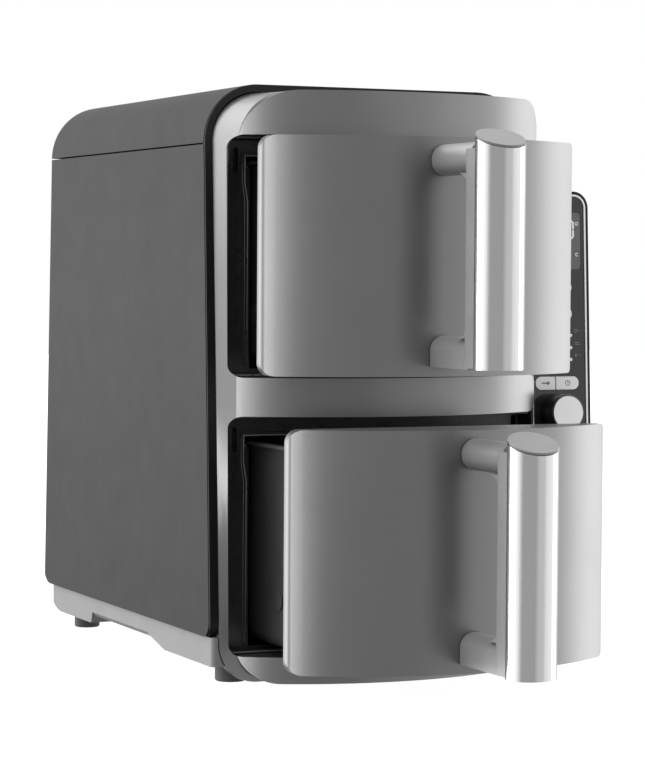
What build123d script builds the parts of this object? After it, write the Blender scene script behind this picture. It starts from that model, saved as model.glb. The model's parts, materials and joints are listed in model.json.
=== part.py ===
from build123d import *
import math
import os

# Two-drawer upright air fryer. Millimetres, +Z up, front towards -Y.
# Pieces are drawn with Y = 0 at the chord of the bowed front and are moved by
# FRONT_Y on export, which puts the origin on the floor under the middle of the whole
# fryer as it stands with both drawers part open.
FRONT_Y = -58.9
FAR = 400.0

# Cabinet outline
BODY_LEFT = -142.0
BODY_LEFT_TOP = -140.4
BODY_RIGHT = 92.7
BODY_RIGHT_TOP = 91.9
BODY_LOW = 31.0
BODY_TOP = 381.0
BODY_CORNER = 38.0
BODY_REAR_EDGE = 3.5
BODY_REAR_FOOT = 15.0
BODY_FRONT_FOOT = 10.0
FRONT_EDGE_LOW = -0.4
FRONT_EDGE_TOP = 18.0
REAR_LOW = 329.5
REAR_TOP = 317.5
REAR_MID_Z = 190.0
SKIN = 2.5
SEAM_Z = 342.6
SEAM_GAP = 1.0

# Seam band
BAND_WIDTH = 6.5
BAND_TOP_WIDTH = 5.0
BAND_RIGHT_WIDTH = 2.5
BAND_STEP = 1.5
BAND_SLEEVE = 8.0
BAND_SLEEVE_END_X = 55.0

# Bowed front shared by the fascia and the drawers
BOW_CENTRE_X = -20.0
BOW_HALF = 109.4
BOW_DEPTH = 36.0
BOW_RADIUS = (BOW_HALF**2 + BOW_DEPTH**2) / (2 * BOW_DEPTH)
BOW_CENTRE_Y = BOW_RADIUS - BOW_DEPTH

# Fascia
FASCIA_LEFT = -135.4
FASCIA_CREASE = -125.2
FASCIA_RIGHT = 89.4
FASCIA_LOW = 2.0
FASCIA_TOP = 375.8
FASCIA_TOP_LEFT_R = 32.0
FASCIA_TOP_RIGHT_R = 15.0
FASCIA_LOW_LEFT_R = 25.0
FASCIA_CREASE_R = 35.0
FASCIA_SEAT = 0.7
FASCIA_LOW_RIGHT_R = 8.0
FASCIA_PLUG_RIGHT = 89.3
FASCIA_PLUG_R = 36.0
FASCIA_BACK = 18.5
FASCIA_DEEP = 60.0
FASCIA_WALL = 3.0
SEAM_BASE_Y = 5.0
JAMB_X = -129.5
LOW_OPEN = (18.8, 170.8)
HIGH_OPEN = (195.2, 347.8)
OPEN_CORNER = 8.0
BAR_END_R = 6.0
HEADER_END_R = 3.0

# Inner front frame
FRAME_Y = 19.0
FRAME_THICK = 3.0
FRAME_LEFT = -135.2
FRAME_RIGHT = 88.5
FRAME_LOW = 17.3
FRAME_TOP = 372.5
COLLAR_Y = 6.0
COLLAR_WALL = 2.0
PAN_OPEN_LEFT = -107.3
PAN_OPEN_RIGHT = 79.8
RAIL_OPEN_SIDE = 3.4
LOW_PAN_OPEN = (21.8, 156.5)
STOREY = 178.2
SLOT_WIDTH = 3.3
FRAME_SLOTS = ((-117.2, 154.3, 16.3), (84.3, 160.5, 13.0))
FRAME_POCKETS = (
    (-115.6, 136.0, 15.0),
    (-115.6, 111.0, 15.0),
    (-115.6, 92.0, 13.0),
    (-115.6, 73.0, 13.0),
    (-115.6, 54.0, 13.0),
)
POCKET_DEPTH = 0.8
BEAD_WIDTH = 2.6
BEAD_PATH = ((-108.8, 24.0), (-108.8, 128.0), (-110.8, 140.0), (-110.8, 156.8), (80.0, 156.8))

# Bay liners, with the fan chamber behind the guard
LINER_LEFT = -116.0
LINER_RIGHT = 88.0
LINER_FLOOR = 21.2
LINER_CEILING = 166.5
LINER_WALL = 1.2
LINER_FRONT = 22.3
LINER_REAR = 261.0
GUARD_Y = 238.0
GUARD_THICK = 1.2
FAN_X = -13.35
FAN_Z = 93.0
FAN_R = 48.0
FAN_HUB_R = 12.0
FAN_FRONT = 243.0
FAN_BACK = 257.0
BLADES = 9
SHAFT_R = 3.0
BORE_R = 3.05
MOTOR_R = 25.0
MOTOR_FRONT = 262.3
MOTOR_BACK = 296.0
COIL_R = 60.0
COIL_TUBE_R = 3.2
COIL_Y = 250.0
COIL_LEG_HALF = 12.0

# Drawers
DRAWER_LEFT = -128.4
DRAWER_RIGHT = 89.1
DRAWER_LOW = 19.7
DRAWER_HIGH = 167.5
DRAWER_CORNER = 8.0
DRAWER_END_R = 5.0
DRAWER_SKIN = 2.5
DRAWER_BACK_Y = 4.6
UPPER_OUT = 48.0
LOWER_OUT = 91.5

# Pan
PAN_LEFT = -105.0
PAN_RIGHT = 78.3
PAN_FRONT = 4.6
PAN_REAR = 231.0
PAN_LOW = 24.8
PAN_HIGH = 153.6
PAN_WALL = 1.5
PAN_CORNER = 26.0
PAN_FLOOR_R = 9.0
RIM_THICK = 2.0
RIM_WIDTH = 4.5

# Handle
HANDLE_X = -20.0
COLUMN_Y = -107.5
COLUMN_HALF_X = 15.7
COLUMN_HALF_Y = 12.7
SLEEVE_WALL = 0.9
SLEEVE_BACK = 8.0
WEB_HALF = 12.4
WEB_BACK = 22.5
WEB_TOP_Z = 158.0
FLARE_R = 15.0
ARM_HALF = 10.0
ARM_TALL = 19.2
ARM_LOW_Z = 26.0
ARM_HIGH_Z = 143.4
ARM_NECK = 0.8
SLEEVE_LOW_Z = 26.6
COLUMN_LOW_Z = 27.0
COLUMN_TOP_BACK = 170.1
COLUMN_TOP_FRONT = 158.9
CAP_INSET = 0.3
CAP_THICK = 1.2

# Crisper plate
PLATE_Z = 41.0
PLATE_THICK = 1.2
PLATE_GAP = 3.0

# Control column
POD_LEFT = 93.2
POD_RIGHT = 140.0
POD_LOW = 31.2
POD_TOP = 317.0
POD_TOP_R = 11.0
POD_LEFT_R = 4.0
POD_REAR = 316.0
POD_REAR_R = 10.0
POD_WALL = 2.5
POD_MID_Z = 174.0
POD_MID_Y = 13.1
POD_SLOPE = 0.0488
BEZEL_WIDTH = 2.0
BEZEL_THICK = 3.0
TRIM_WIDTH = 1.3
GLASS_THICK = 2.5
GLASS_DEPTH = 0.5
CORD_INLET = (117.6, 70.0)
BOARD_X = 117.6
DIAL_X = 114.1
DIAL_Z = 168.6
DIAL_R = 12.4
DIAL_LONG = 15.0
DIAL_CAP_R = 11.0
ROUND_BUTTONS = {
    "zone_one_button": (122.3, 252.5, 4.15),
    "zone_two_button": (122.3, 234.7, 4.15),
    "power_button": (106.0, 132.0, 6.0),
    "start_button": (126.0, 132.0, 6.0),
}
PILL_Z = 188.3
PILL_TALL = 8.7
PILL_EDGES = {"temp_button": (98.2, 112.9), "time_button": (113.8, 131.0)}
BUTTON_PROUD = 0.8
BUTTON_FLANGE = 0.9
BUTTON_STEM = 4.2
BUTTON_GAP = 0.3
WINDOW = (98.5, 134.2, 264.6, 303.0)
LAMP_ROWS = (220.3, 212.1, 204.0)
LAMPS = [(x, z) for x in (125.8, 103.0) for z in LAMP_ROWS]
LAMP_R = 1.1
BOARD_DEPTH = 11.0
BOARD_THICK = 1.6

# Base tray and feet
TRAY_HALF = 140.0
TRAY_FRONT = 5.3
TRAY_REAR = 325.7
TRAY_TOP = 30.8
TRAY_FLOOR = 12.4
TRAY_ARCH = 17.2
TRAY_ARCH_Y = (83.0, 104.0, 227.0, 229.0)
TRAY_ARCH_CHAMFER = 3.0
TRAY_WALL = 2.5
TRAY_CORNER = 16.0
TRAY_TAIL = ((294.0, 12.4), (313.0, 17.8), (325.7, 30.8))
TRAY_HORN_Y = -0.8
TRAY_HORN_X = -118.0
FOOT_X = 118.0
FOOT_FRONT_Y = 22.0
FOOT_REAR_Y = 300.0
FOOT_R = {FOOT_FRONT_Y: 10.0, FOOT_REAR_Y: 9.2}
PEG_R = 3.0

# Rear vent panel
VENT_LEFT = -104.0
VENT_RIGHT = 56.0
VENT_LOW = 62.0
VENT_HIGH = 318.0
VENT_CORNER = 10.0
REAR_LEAN = (REAR_LOW - REAR_TOP) / (BODY_TOP - BODY_LOW)


def front_edge(z):
    """Y of the leaning front edge of the cabinet at height z."""
    share = (z - BODY_LOW) / (BODY_TOP - BODY_LOW)
    return FRONT_EDGE_LOW + share * (FRONT_EDGE_TOP - FRONT_EDGE_LOW)


def rear_face(z):
    """Y of the leaning rear face of the cabinet at height z."""
    return REAR_LOW - REAR_LEAN * (z - BODY_LOW)


def bow_y(x, depth=0.0):
    """Y of the bowed front at x, or of the surface a wall thickness behind it."""
    return BOW_CENTRE_Y - math.sqrt((BOW_RADIUS - depth) ** 2 - (x - BOW_CENTRE_X) ** 2)


def pod_plane(offset=0.0):
    """Plane on the leaning face of the control column; its origin is at x = 0."""
    lean = math.atan(POD_SLOPE)
    middle = (0, POD_MID_Y, POD_MID_Z)
    face = Plane(origin=middle, x_dir=(1, 0, 0), z_dir=(0, -math.cos(lean), math.sin(lean)))
    return face.offset(offset)


def pod_up(z):
    """Distance along the control face for a height z."""
    return (z - POD_MID_Z) / math.cos(math.atan(POD_SLOPE))


def rear_plane(offset=0.0):
    """Plane on the leaning rear face, x pointing left as seen from behind."""
    lean = math.atan(REAR_LEAN)
    middle = (0, rear_face(REAR_MID_Z), REAR_MID_Z)
    face = Plane(origin=middle, x_dir=(-1, 0, 0), z_dir=(0, math.cos(lean), math.sin(lean)))
    return face.offset(offset)


def save(solid, name, forward=0.0, up=0.0):
    """Move a piece from front-plane coordinates to the part's own and write it."""
    piece = solid.moved(Location((0, FRONT_Y - forward, up)))
    piece.label = name
    export_step(piece, "parts/" + name + ".step")


def cabinet_block(inset, front_extra, low):
    """Solid cabinet outline, shrunk by an inset, open or closed as its limits say."""
    with BuildPart() as block:
        with BuildSketch(Plane.XZ.offset(-FAR)):
            with BuildLine():
                Polyline(
                    (BODY_LEFT + inset, low),
                    (BODY_RIGHT - inset, low),
                    (BODY_RIGHT_TOP - inset, BODY_TOP - inset),
                    (BODY_LEFT_TOP + inset, BODY_TOP - inset),
                    close=True,
                )
            make_face()
            fillet(vertices().sort_by(Axis.Y)[-2:], BODY_CORNER - inset)
        extrude(amount=FAR + 60)
        with BuildSketch(Plane.YZ.offset(-FAR)):
            with BuildLine():
                Polyline(
                    (front_edge(low) - front_extra, low),
                    (rear_face(low) - inset, low),
                    (rear_face(BODY_TOP) - inset, BODY_TOP),
                    (front_edge(BODY_TOP) - front_extra, BODY_TOP),
                    close=True,
                )
            make_face()
        extrude(amount=2 * FAR, mode=Mode.INTERSECT)
        rear = block.faces().sort_by(Axis.Y)[-1]
        around = rear.edges().filter_by(lambda edge: edge.center().Z > low + 5)
        fillet(around, BODY_REAR_EDGE - inset)
    return block.part


def cabinet_shell():
    """Top cover and wrap together: the outline less its inside, open in front and below."""
    outer = cabinet_block(0.0, 0.0, BODY_LOW)
    inner = cabinet_block(SKIN, 20.0, BODY_LOW - 20)
    with BuildPart() as shell:
        add(outer)
        add(inner, mode=Mode.SUBTRACT)
        with BuildSketch(Plane.YZ.offset(-FAR)):
            with BuildLine():
                Polyline(
                    (front_edge(BODY_LOW), BODY_LOW),
                    (REAR_LOW, BODY_LOW),
                    (REAR_LOW, BODY_TOP + 20),
                    (front_edge(BODY_TOP + 20), BODY_TOP + 20),
                    close=True,
                )
            make_face()
            fillet(vertices().group_by(Axis.Y)[0].sort_by(Axis.X)[-1], BODY_REAR_FOOT)
            fillet(vertices().group_by(Axis.Y)[0].sort_by(Axis.X)[0], BODY_FRONT_FOOT)
        extrude(amount=2 * FAR, mode=Mode.INTERSECT)
    return shell.part


def make_top_cover(shell):
    with BuildPart() as top_cover:
        add(shell)
        split(bisect_by=Plane.XY.offset(SEAM_Z + SEAM_GAP / 2), keep=Keep.TOP)
    save(top_cover.part, "top_cover")


def make_outer_wrap(shell):
    """Side, rear and inner right wall, with the rear window and screw holes."""
    with BuildPart() as outer_wrap:
        add(shell)
        split(bisect_by=Plane.XY.offset(SEAM_Z - SEAM_GAP / 2), keep=Keep.BOTTOM)
        with BuildSketch(rear_plane(5.0)):
            with Locations((-(VENT_LEFT + VENT_RIGHT) / 2, (VENT_LOW + VENT_HIGH) / 2 - 190.0)):
                RectangleRounded(VENT_RIGHT - VENT_LEFT, VENT_HIGH - VENT_LOW, VENT_CORNER)
            with Locations(*vent_screws()):
                Circle(1.7)
        extrude(amount=-14.0, mode=Mode.SUBTRACT)
        with BuildSketch(Plane.YZ.offset(BODY_RIGHT - 10)):
            with Locations((60.0, 200.0), (60.0, 90.0)):
                SlotOverall(40.0, 16.0)
        extrude(amount=20.0, mode=Mode.SUBTRACT)
    save(outer_wrap.part, "outer_wrap")


def vent_screws():
    """Screw positions round the rear window, in rear-plane coordinates."""
    xs = (-(VENT_LEFT - 5.0), -(VENT_RIGHT + 5.0))
    zs = (VENT_LOW + 30.0 - 190.0, VENT_HIGH - 30.0 - 190.0)
    return [(x, z) for x in xs for z in zs]


def make_rear_vent_panel():
    """Louvred plate in the rear window with a flange behind the wrap."""
    wide = VENT_RIGHT - VENT_LEFT
    tall = VENT_HIGH - VENT_LOW
    middle = (-(VENT_LEFT + VENT_RIGHT) / 2, (VENT_LOW + VENT_HIGH) / 2 - 190.0)
    with BuildPart() as rear_vent_panel:
        with BuildSketch(rear_plane(-SKIN - 2.1)):
            with Locations(middle):
                RectangleRounded(wide + 20, tall + 20, VENT_CORNER)
        extrude(amount=2.0)
        with BuildSketch(rear_plane(-SKIN - 0.2)):
            with Locations(middle):
                RectangleRounded(wide - 0.8, tall - 0.8, VENT_CORNER - 0.4)
        extrude(amount=SKIN - 0.4)
        with BuildSketch(rear_plane(5.0)):
            for storey in (FAN_Z, FAN_Z + STOREY):
                with Locations((middle[0], storey - 190.0)):
                    with GridLocations(130.0 / 9, 38.0, 10, 2):
                        SlotOverall(32.0, 5.0, rotation=90)
            with Locations(*vent_screws()):
                Circle(1.5)
        extrude(amount=-20.0, mode=Mode.SUBTRACT)
    save(rear_vent_panel.part, "rear_vent_panel")


def make_cabinet_screws():
    """Pan-head screws that hold the rear vent panel."""
    with BuildPart() as cabinet_screws:
        with BuildSketch(rear_plane(0.05)):
            with Locations(*vent_screws()):
                Circle(3.2)
        extrude(amount=1.9)
        with BuildSketch(rear_plane(0.05)):
            with Locations(*vent_screws()):
                Circle(1.48)
        extrude(amount=-8.0)
        with BuildSketch(rear_plane(2.2)):
            with Locations(*vent_screws()):
                Rectangle(3.4, 0.9)
                Rectangle(0.9, 3.4)
        extrude(amount=-1.2, mode=Mode.SUBTRACT)
    save(cabinet_screws.part, "cabinet_screws")


def band_hole():
    """Rounded inside of the band, used to cut its corners."""
    with BuildPart() as hole:
        with BuildSketch(Plane.XZ.offset(-FAR)):
            with BuildLine():
                Polyline(
                    (BODY_LEFT + BAND_WIDTH, BODY_LOW - 20),
                    (BODY_RIGHT - BAND_RIGHT_WIDTH, BODY_LOW - 20),
                    (BODY_RIGHT - BAND_RIGHT_WIDTH, BODY_TOP - BAND_TOP_WIDTH),
                    (BODY_LEFT + BAND_WIDTH, BODY_TOP - BAND_TOP_WIDTH),
                    close=True,
                )
            make_face()
            top = vertices().sort_by(Axis.Y)[-2:]
            fillet(top.sort_by(Axis.X)[0], BODY_CORNER - BAND_WIDTH)
            fillet(vertices().group_by(Axis.Y)[-1].sort_by(Axis.X)[-1], BODY_CORNER - BAND_RIGHT_WIDTH)
        extrude(amount=FAR + 60)
    return hole.part


def make_seam_band():
    """Black band: a front flange and a sleeve that locates inside the wrap."""
    hole = band_hole()
    with BuildPart() as outline:
        with BuildSketch(Plane.XZ.offset(-FAR)):
            with BuildLine():
                Polyline(
                    (BODY_LEFT + 0.4, BODY_LOW),
                    (BODY_RIGHT - 0.4, BODY_LOW),
                    (BODY_RIGHT_TOP - 0.4, BODY_TOP - 0.4),
                    (BODY_LEFT_TOP + 0.4, BODY_TOP - 0.4),
                    close=True,
                )
            make_face()
            fillet(vertices().sort_by(Axis.Y)[-2:], BODY_CORNER - 0.4)
        extrude(amount=FAR + 60)
    sleeve = cabinet_block(SKIN + 0.1, 20.0, BODY_LOW)
    with BuildPart() as flange:
        add(outline.part)
        with BuildSketch(Plane.YZ.offset(-FAR)):
            with BuildLine():
                Polyline(
                    (front_edge(BODY_LOW) - BAND_STEP, BODY_LOW),
                    (front_edge(BODY_LOW) - 0.05, BODY_LOW),
                    (front_edge(BODY_TOP) - 0.05, BODY_TOP),
                    (front_edge(BODY_TOP) - BAND_STEP, BODY_TOP),
                    close=True,
                )
            make_face()
        extrude(amount=2 * FAR, mode=Mode.INTERSECT)
    with BuildPart() as tongue:
        add(sleeve)
        with BuildSketch(Plane.YZ.offset(-FAR)):
            with BuildLine():
                Polyline(
                    (front_edge(BODY_LOW) - 1.0, BODY_LOW),
                    (front_edge(BODY_LOW) + BAND_SLEEVE, BODY_LOW),
                    (front_edge(BODY_TOP) + BAND_SLEEVE, BODY_TOP),
                    (front_edge(BODY_TOP) - 1.0, BODY_TOP),
                    close=True,
                )
            make_face()
        extrude(amount=BAND_SLEEVE_END_X + FAR, mode=Mode.INTERSECT)
    with BuildPart() as seam_band:
        add(flange.part)
        add(tongue.part)
        add(hole, mode=Mode.SUBTRACT)
        with BuildSketch(Plane.YZ.offset(-FAR)):
            with BuildLine():
                Polyline(
                    (front_edge(BODY_LOW) - BAND_STEP, BODY_LOW),
                    (60.0, BODY_LOW),
                    (60.0, BODY_TOP + 20),
                    (front_edge(BODY_TOP + 20) - BAND_STEP, BODY_TOP + 20),
                    close=True,
                )
            make_face()
            fillet(vertices().group_by(Axis.Y)[0].sort_by(Axis.X)[0], BODY_FRONT_FOOT)
        extrude(amount=2 * FAR, mode=Mode.INTERSECT)
    save(seam_band.part, "seam_band")


def bow_slab(depth, left, right, back, low, high):
    """Block whose front is the bow, or the surface a wall thickness behind it."""
    with BuildPart() as slab:
        with BuildSketch(Plane.XY.offset(low)):
            with BuildLine():
                ThreePointArc(
                    (left, bow_y(left, depth)),
                    (BOW_CENTRE_X, bow_y(BOW_CENTRE_X, depth)),
                    (right, bow_y(right, depth)),
                )
                Polyline(
                    (right, bow_y(right, depth)),
                    (right, back),
                    (left, back),
                    (left, bow_y(left, depth)),
                )
            make_face()
        extrude(amount=high - low)
    return slab.part


def fascia_outline(left, right, radii, grow=0.0):
    """Front outline of the fascia, enlarged by a margin; radii run clockwise from top left."""
    left, right = left - grow, right + grow
    high, low = FASCIA_TOP + grow, FASCIA_LOW - grow
    spots = ((left, high), (right, high), (right, low), (left, low))
    with BuildSketch() as outline:
        with BuildLine():
            Polyline(*spots, close=True)
        make_face()
        for spot, radius in zip(spots, radii):
            fillet(vertices().sort_by_distance((*spot, 0))[0], radius + grow)
    return outline.sketch


def fascia_front():
    """Outline of the bowed face, inside the crease."""
    radii = (FASCIA_CREASE_R, FASCIA_TOP_RIGHT_R, FASCIA_LOW_RIGHT_R, FASCIA_LOW_LEFT_R)
    return fascia_outline(FASCIA_CREASE, FASCIA_RIGHT, radii)


def fascia_foot(grow=0.0):
    """Outline of the fascia where it meets the band and the tray."""
    radii = (FASCIA_TOP_LEFT_R, FASCIA_PLUG_R, FASCIA_LOW_RIGHT_R, FASCIA_LOW_LEFT_R)
    return fascia_outline(FASCIA_LEFT, FASCIA_PLUG_RIGHT, radii, grow)


def fascia_mass():
    """Solid fascia: bowed face, return that widens towards the top, and a plug behind the band."""
    crease_y = bow_y(FASCIA_CREASE)
    lean = math.atan((FRONT_EDGE_TOP - FRONT_EDGE_LOW) / (BODY_TOP - BODY_LOW))
    seat_y = front_edge(0.0) - BAND_STEP + FASCIA_SEAT
    seat = Plane(origin=(0, seat_y, 0), x_dir=(1, 0, 0), z_dir=(0, -math.cos(lean), math.sin(lean)))
    bow_end = 2 * BOW_CENTRE_X - FASCIA_CREASE
    past_right = FASCIA_RIGHT + 3
    with BuildPart() as face:
        with BuildSketch(Plane.XZ.offset(-crease_y)):
            add(fascia_front())
        extrude(amount=FASCIA_DEEP)
        bow = bow_slab(0.0, FASCIA_CREASE, FASCIA_RIGHT, FASCIA_DEEP, FASCIA_LOW - 1, FASCIA_TOP + 1)
        add(bow, mode=Mode.INTERSECT)
    with BuildPart() as skirt:
        with BuildSketch(Plane.XZ.offset(-crease_y)):
            add(fascia_front())
        with BuildSketch(seat):
            add(fascia_foot())
        loft(ruled=True)
        with BuildSketch(Plane.XY.offset(FASCIA_LOW - 1)):
            with BuildLine():
                ThreePointArc(
                    (bow_end, bow_y(bow_end)),
                    (FASCIA_RIGHT, bow_y(FASCIA_RIGHT)),
                    (past_right, bow_y(past_right)),
                )
                Polyline(
                    (past_right, bow_y(past_right)),
                    (past_right, crease_y - 1),
                    (bow_end, crease_y - 1),
                    (bow_end, bow_y(bow_end)),
                )
            make_face()
        extrude(amount=FASCIA_TOP - FASCIA_LOW + 2, mode=Mode.SUBTRACT)
    with BuildPart() as plug:
        with BuildSketch(seat.offset(-FASCIA_DEEP)):
            add(fascia_foot())
        extrude(amount=FASCIA_DEEP)
        with BuildSketch(Plane.XZ.offset(-FASCIA_BACK)):
            Rectangle(2 * FAR, 2 * FAR, align=(Align.CENTER, Align.CENTER))
        extrude(amount=FASCIA_DEEP, mode=Mode.INTERSECT)
    with BuildPart() as mass:
        add(face.part)
        add(skirt.part)
        add(plug.part)
    return mass.part


def make_front_fascia():
    """Silver front: header, middle bar and sill with free right ends, and the left post."""
    back = FASCIA_BACK + 5
    hollows = [
        bow_slab(FASCIA_WALL, -95.0, 62.0, back, HIGH_OPEN[1] + FASCIA_WALL, FASCIA_TOP - FASCIA_WALL),
        bow_slab(FASCIA_WALL, -118.0, 84.0, back, LOW_OPEN[1] + FASCIA_WALL, HIGH_OPEN[0] - FASCIA_WALL),
        bow_slab(FASCIA_WALL, -95.0, 80.0, back, FASCIA_LOW + FASCIA_WALL, LOW_OPEN[0] - FASCIA_WALL),
    ]
    with BuildPart() as front_fascia:
        add(fascia_mass())
        with BuildSketch(Plane.XZ.offset(-back)):
            for (low, high), end_top in ((LOW_OPEN, BAR_END_R), (HIGH_OPEN, HEADER_END_R)):
                with BuildLine():
                    Polyline(
                        (JAMB_X, low),
                        (FASCIA_RIGHT, low),
                        (FASCIA_RIGHT, low - 7),
                        (FASCIA_RIGHT + 30, low - 7),
                        (FASCIA_RIGHT + 30, high + 7),
                        (FASCIA_RIGHT, high + 7),
                        (FASCIA_RIGHT, high),
                        (JAMB_X, high),
                        close=True,
                    )
                make_face()
                fillet(vertices().sort_by_distance((JAMB_X, low, 0))[0], OPEN_CORNER)
                fillet(vertices().sort_by_distance((JAMB_X, high, 0))[0], OPEN_CORNER)
                fillet(vertices().sort_by_distance((FASCIA_RIGHT, low, 0))[0], BAR_END_R)
                fillet(vertices().sort_by_distance((FASCIA_RIGHT, high, 0))[0], end_top)
        extrude(amount=120.0, mode=Mode.SUBTRACT)
        for hollow in hollows:
            add(hollow, mode=Mode.SUBTRACT)
        with BuildSketch(Plane.YZ.offset(-FAR)):
            with BuildLine():
                Polyline(
                    (SEAM_BASE_Y, BODY_LOW + 0.3),
                    (SEAM_BASE_Y, FASCIA_LOW - 5),
                    (60.0, FASCIA_LOW - 5),
                    (60.0, BODY_LOW + 0.3),
                    close=True,
                )
            make_face()
        extrude(amount=2 * FAR, mode=Mode.SUBTRACT)
    save(front_fascia.part, "front_fascia")


def make_front_frame():
    """Black frame behind the fascia: pan openings, collars, short slots and a bead."""
    with BuildPart() as front_frame:
        with BuildSketch(Plane.XZ.offset(-FRAME_Y - FRAME_THICK)):
            with BuildLine():
                Polyline(
                    (FRAME_LEFT, FRAME_LOW),
                    (FRAME_RIGHT, FRAME_LOW),
                    (FRAME_RIGHT, FRAME_TOP),
                    (FRAME_LEFT, FRAME_TOP),
                    close=True,
                )
            make_face()
            fillet(vertices().sort_by(Axis.Y)[-2:], 30.0)
            fillet(vertices().sort_by(Axis.Y)[:2], 9.0)
            for storey in (0.0, STOREY):
                low = LOW_PAN_OPEN[0] + storey
                high = LOW_PAN_OPEN[1] + storey
                with Locations(((PAN_OPEN_LEFT + PAN_OPEN_RIGHT) / 2, (low + high) / 2)):
                    Rectangle(PAN_OPEN_RIGHT - PAN_OPEN_LEFT, high - low, mode=Mode.SUBTRACT)
                with Locations(((PAN_OPEN_LEFT + PAN_OPEN_RIGHT) / 2, high - 3.5)):
                    Rectangle(PAN_OPEN_RIGHT - PAN_OPEN_LEFT + 2 * RAIL_OPEN_SIDE, 7.0, mode=Mode.SUBTRACT)
                for x, z, length in FRAME_SLOTS:
                    with Locations((x, z + storey)):
                        SlotOverall(length, SLOT_WIDTH, rotation=90, mode=Mode.SUBTRACT)
        extrude(amount=FRAME_THICK)
        for low, high in (LOW_OPEN, HIGH_OPEN):
            with BuildSketch(Plane.XZ.offset(-FRAME_Y)):
                with BuildLine():
                    Polyline(
                        (JAMB_X + 0.1, low + 0.1),
                        (FRAME_RIGHT, low + 0.1),
                        (FRAME_RIGHT, high - 0.1),
                        (JAMB_X + 0.1, high - 0.1),
                        close=True,
                    )
                make_face()
                fillet(vertices().sort_by(Axis.X)[:2], OPEN_CORNER - 0.1)
                with Locations((100.0, (low + high) / 2)):
                    RectangleRounded(
                        2 * (100.0 - JAMB_X - COLLAR_WALL),
                        high - low - 2 * COLLAR_WALL - 0.2,
                        OPEN_CORNER - COLLAR_WALL,
                        mode=Mode.SUBTRACT,
                    )
            extrude(amount=FRAME_Y - COLLAR_Y)
        with BuildSketch(Plane.XZ.offset(-FRAME_Y)):
            for storey in (0.0, STOREY):
                inner = [(x, z + storey) for x, z in BEAD_PATH]
                outer = [(x - BEAD_WIDTH, z + storey) for x, z in BEAD_PATH[:3]]
                corner = (inner[3][0] - BEAD_WIDTH, inner[3][1] + BEAD_WIDTH)
                end = (inner[4][0], inner[4][1] + BEAD_WIDTH)
                with BuildLine():
                    Polyline(*outer, corner, end, *reversed(inner), close=True)
                make_face()
        extrude(amount=1.0)
        with BuildSketch(Plane.XZ.offset(-FRAME_Y)):
            for storey in (0.0, STOREY):
                for x, z, length in FRAME_POCKETS:
                    with Locations((x, z + storey)):
                        SlotOverall(length, SLOT_WIDTH, rotation=90)
        extrude(amount=-POCKET_DEPTH, mode=Mode.SUBTRACT)
    save(front_frame.part, "front_frame")


def make_base_tray():
    """Open tray under the cabinet, its lower edge raised along the middle."""
    levels = (TRAY_FLOOR, TRAY_ARCH, TRAY_ARCH, TRAY_FLOOR)
    floor_line = list(zip(TRAY_ARCH_Y, levels))
    tail = TRAY_TAIL
    inner_tail = ((tail[0][0], tail[0][1] + TRAY_WALL), (tail[1][0] - 1.6, tail[1][1] + 2.2))
    inner_end = (TRAY_REAR - TRAY_WALL, TRAY_TOP + 5)
    with BuildPart() as base_tray:
        with BuildSketch(Plane.XY):
            with BuildLine():
                Polyline(
                    (-TRAY_HALF, TRAY_HORN_Y),
                    (TRAY_HORN_X, TRAY_HORN_Y),
                    (TRAY_HORN_X, TRAY_FRONT),
                    (TRAY_HALF, TRAY_FRONT),
                    (TRAY_HALF, TRAY_REAR),
                    (-TRAY_HALF, TRAY_REAR),
                    close=True,
                )
            make_face()
            fillet(vertices().sort_by(Axis.Y)[-2:], TRAY_CORNER)
            fillet(vertices().sort_by_distance((TRAY_HALF, TRAY_FRONT, 0))[0], 6.0)
            fillet(vertices().sort_by_distance((-TRAY_HALF, TRAY_HORN_Y, 0))[0], 3.4)
        extrude(amount=TRAY_TOP)
        with BuildSketch(Plane.YZ.offset(-FAR)):
            with BuildLine():
                start = (TRAY_FRONT - 20, TRAY_TOP)
                Polyline(tail[2], start, (TRAY_FRONT - 20, TRAY_FLOOR), *floor_line, tail[0])
                ThreePointArc(*tail)
            make_face()
        extrude(amount=2 * FAR, mode=Mode.INTERSECT)
        arch = base_tray.faces().filter_by(Axis.Z).sort_by_distance((0, TRAY_ARCH_Y[1] + 50, TRAY_ARCH))[0]
        chamfer(arch.edges().filter_by(Axis.Y), TRAY_ARCH_CHAMFER)
        with BuildSketch(Plane.YZ.offset(-TRAY_HALF + TRAY_WALL)):
            with BuildLine():
                start = (TRAY_FRONT + TRAY_WALL, TRAY_TOP + 5)
                front_low = (TRAY_FRONT + TRAY_WALL, TRAY_FLOOR + TRAY_WALL)
                raised = [(y, z + TRAY_WALL) for y, z in floor_line]
                Polyline(inner_end, start, front_low, *raised, inner_tail[0])
                ThreePointArc(*inner_tail, inner_end)
            make_face()
        inside = extrude(amount=2 * (TRAY_HALF - TRAY_WALL), mode=Mode.PRIVATE)
        rear_edges = inside.edges().filter_by(Axis.Z).group_by(Axis.Y)[-1]
        add(inside.fillet(TRAY_CORNER - TRAY_WALL, rear_edges), mode=Mode.SUBTRACT)
        with BuildSketch(Plane.XZ.offset(-SEAM_BASE_Y - 0.3)):
            add(fascia_foot(0.4))
        extrude(amount=20.0, mode=Mode.SUBTRACT)
        with BuildSketch(Plane.XY.offset(LOW_OPEN[0] - 0.3)):
            with Locations(((JAMB_X + 90.0) / 2, TRAY_FRONT)):
                Rectangle(90.0 - JAMB_X + 1.0, 12.0)
        extrude(amount=40.0, mode=Mode.SUBTRACT)
        with BuildSketch(Plane.XY):
            with Locations(*foot_spots()):
                Circle(PEG_R + 0.1)
        extrude(amount=20.0, mode=Mode.SUBTRACT)
    save(base_tray.part, "base_tray")


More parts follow.
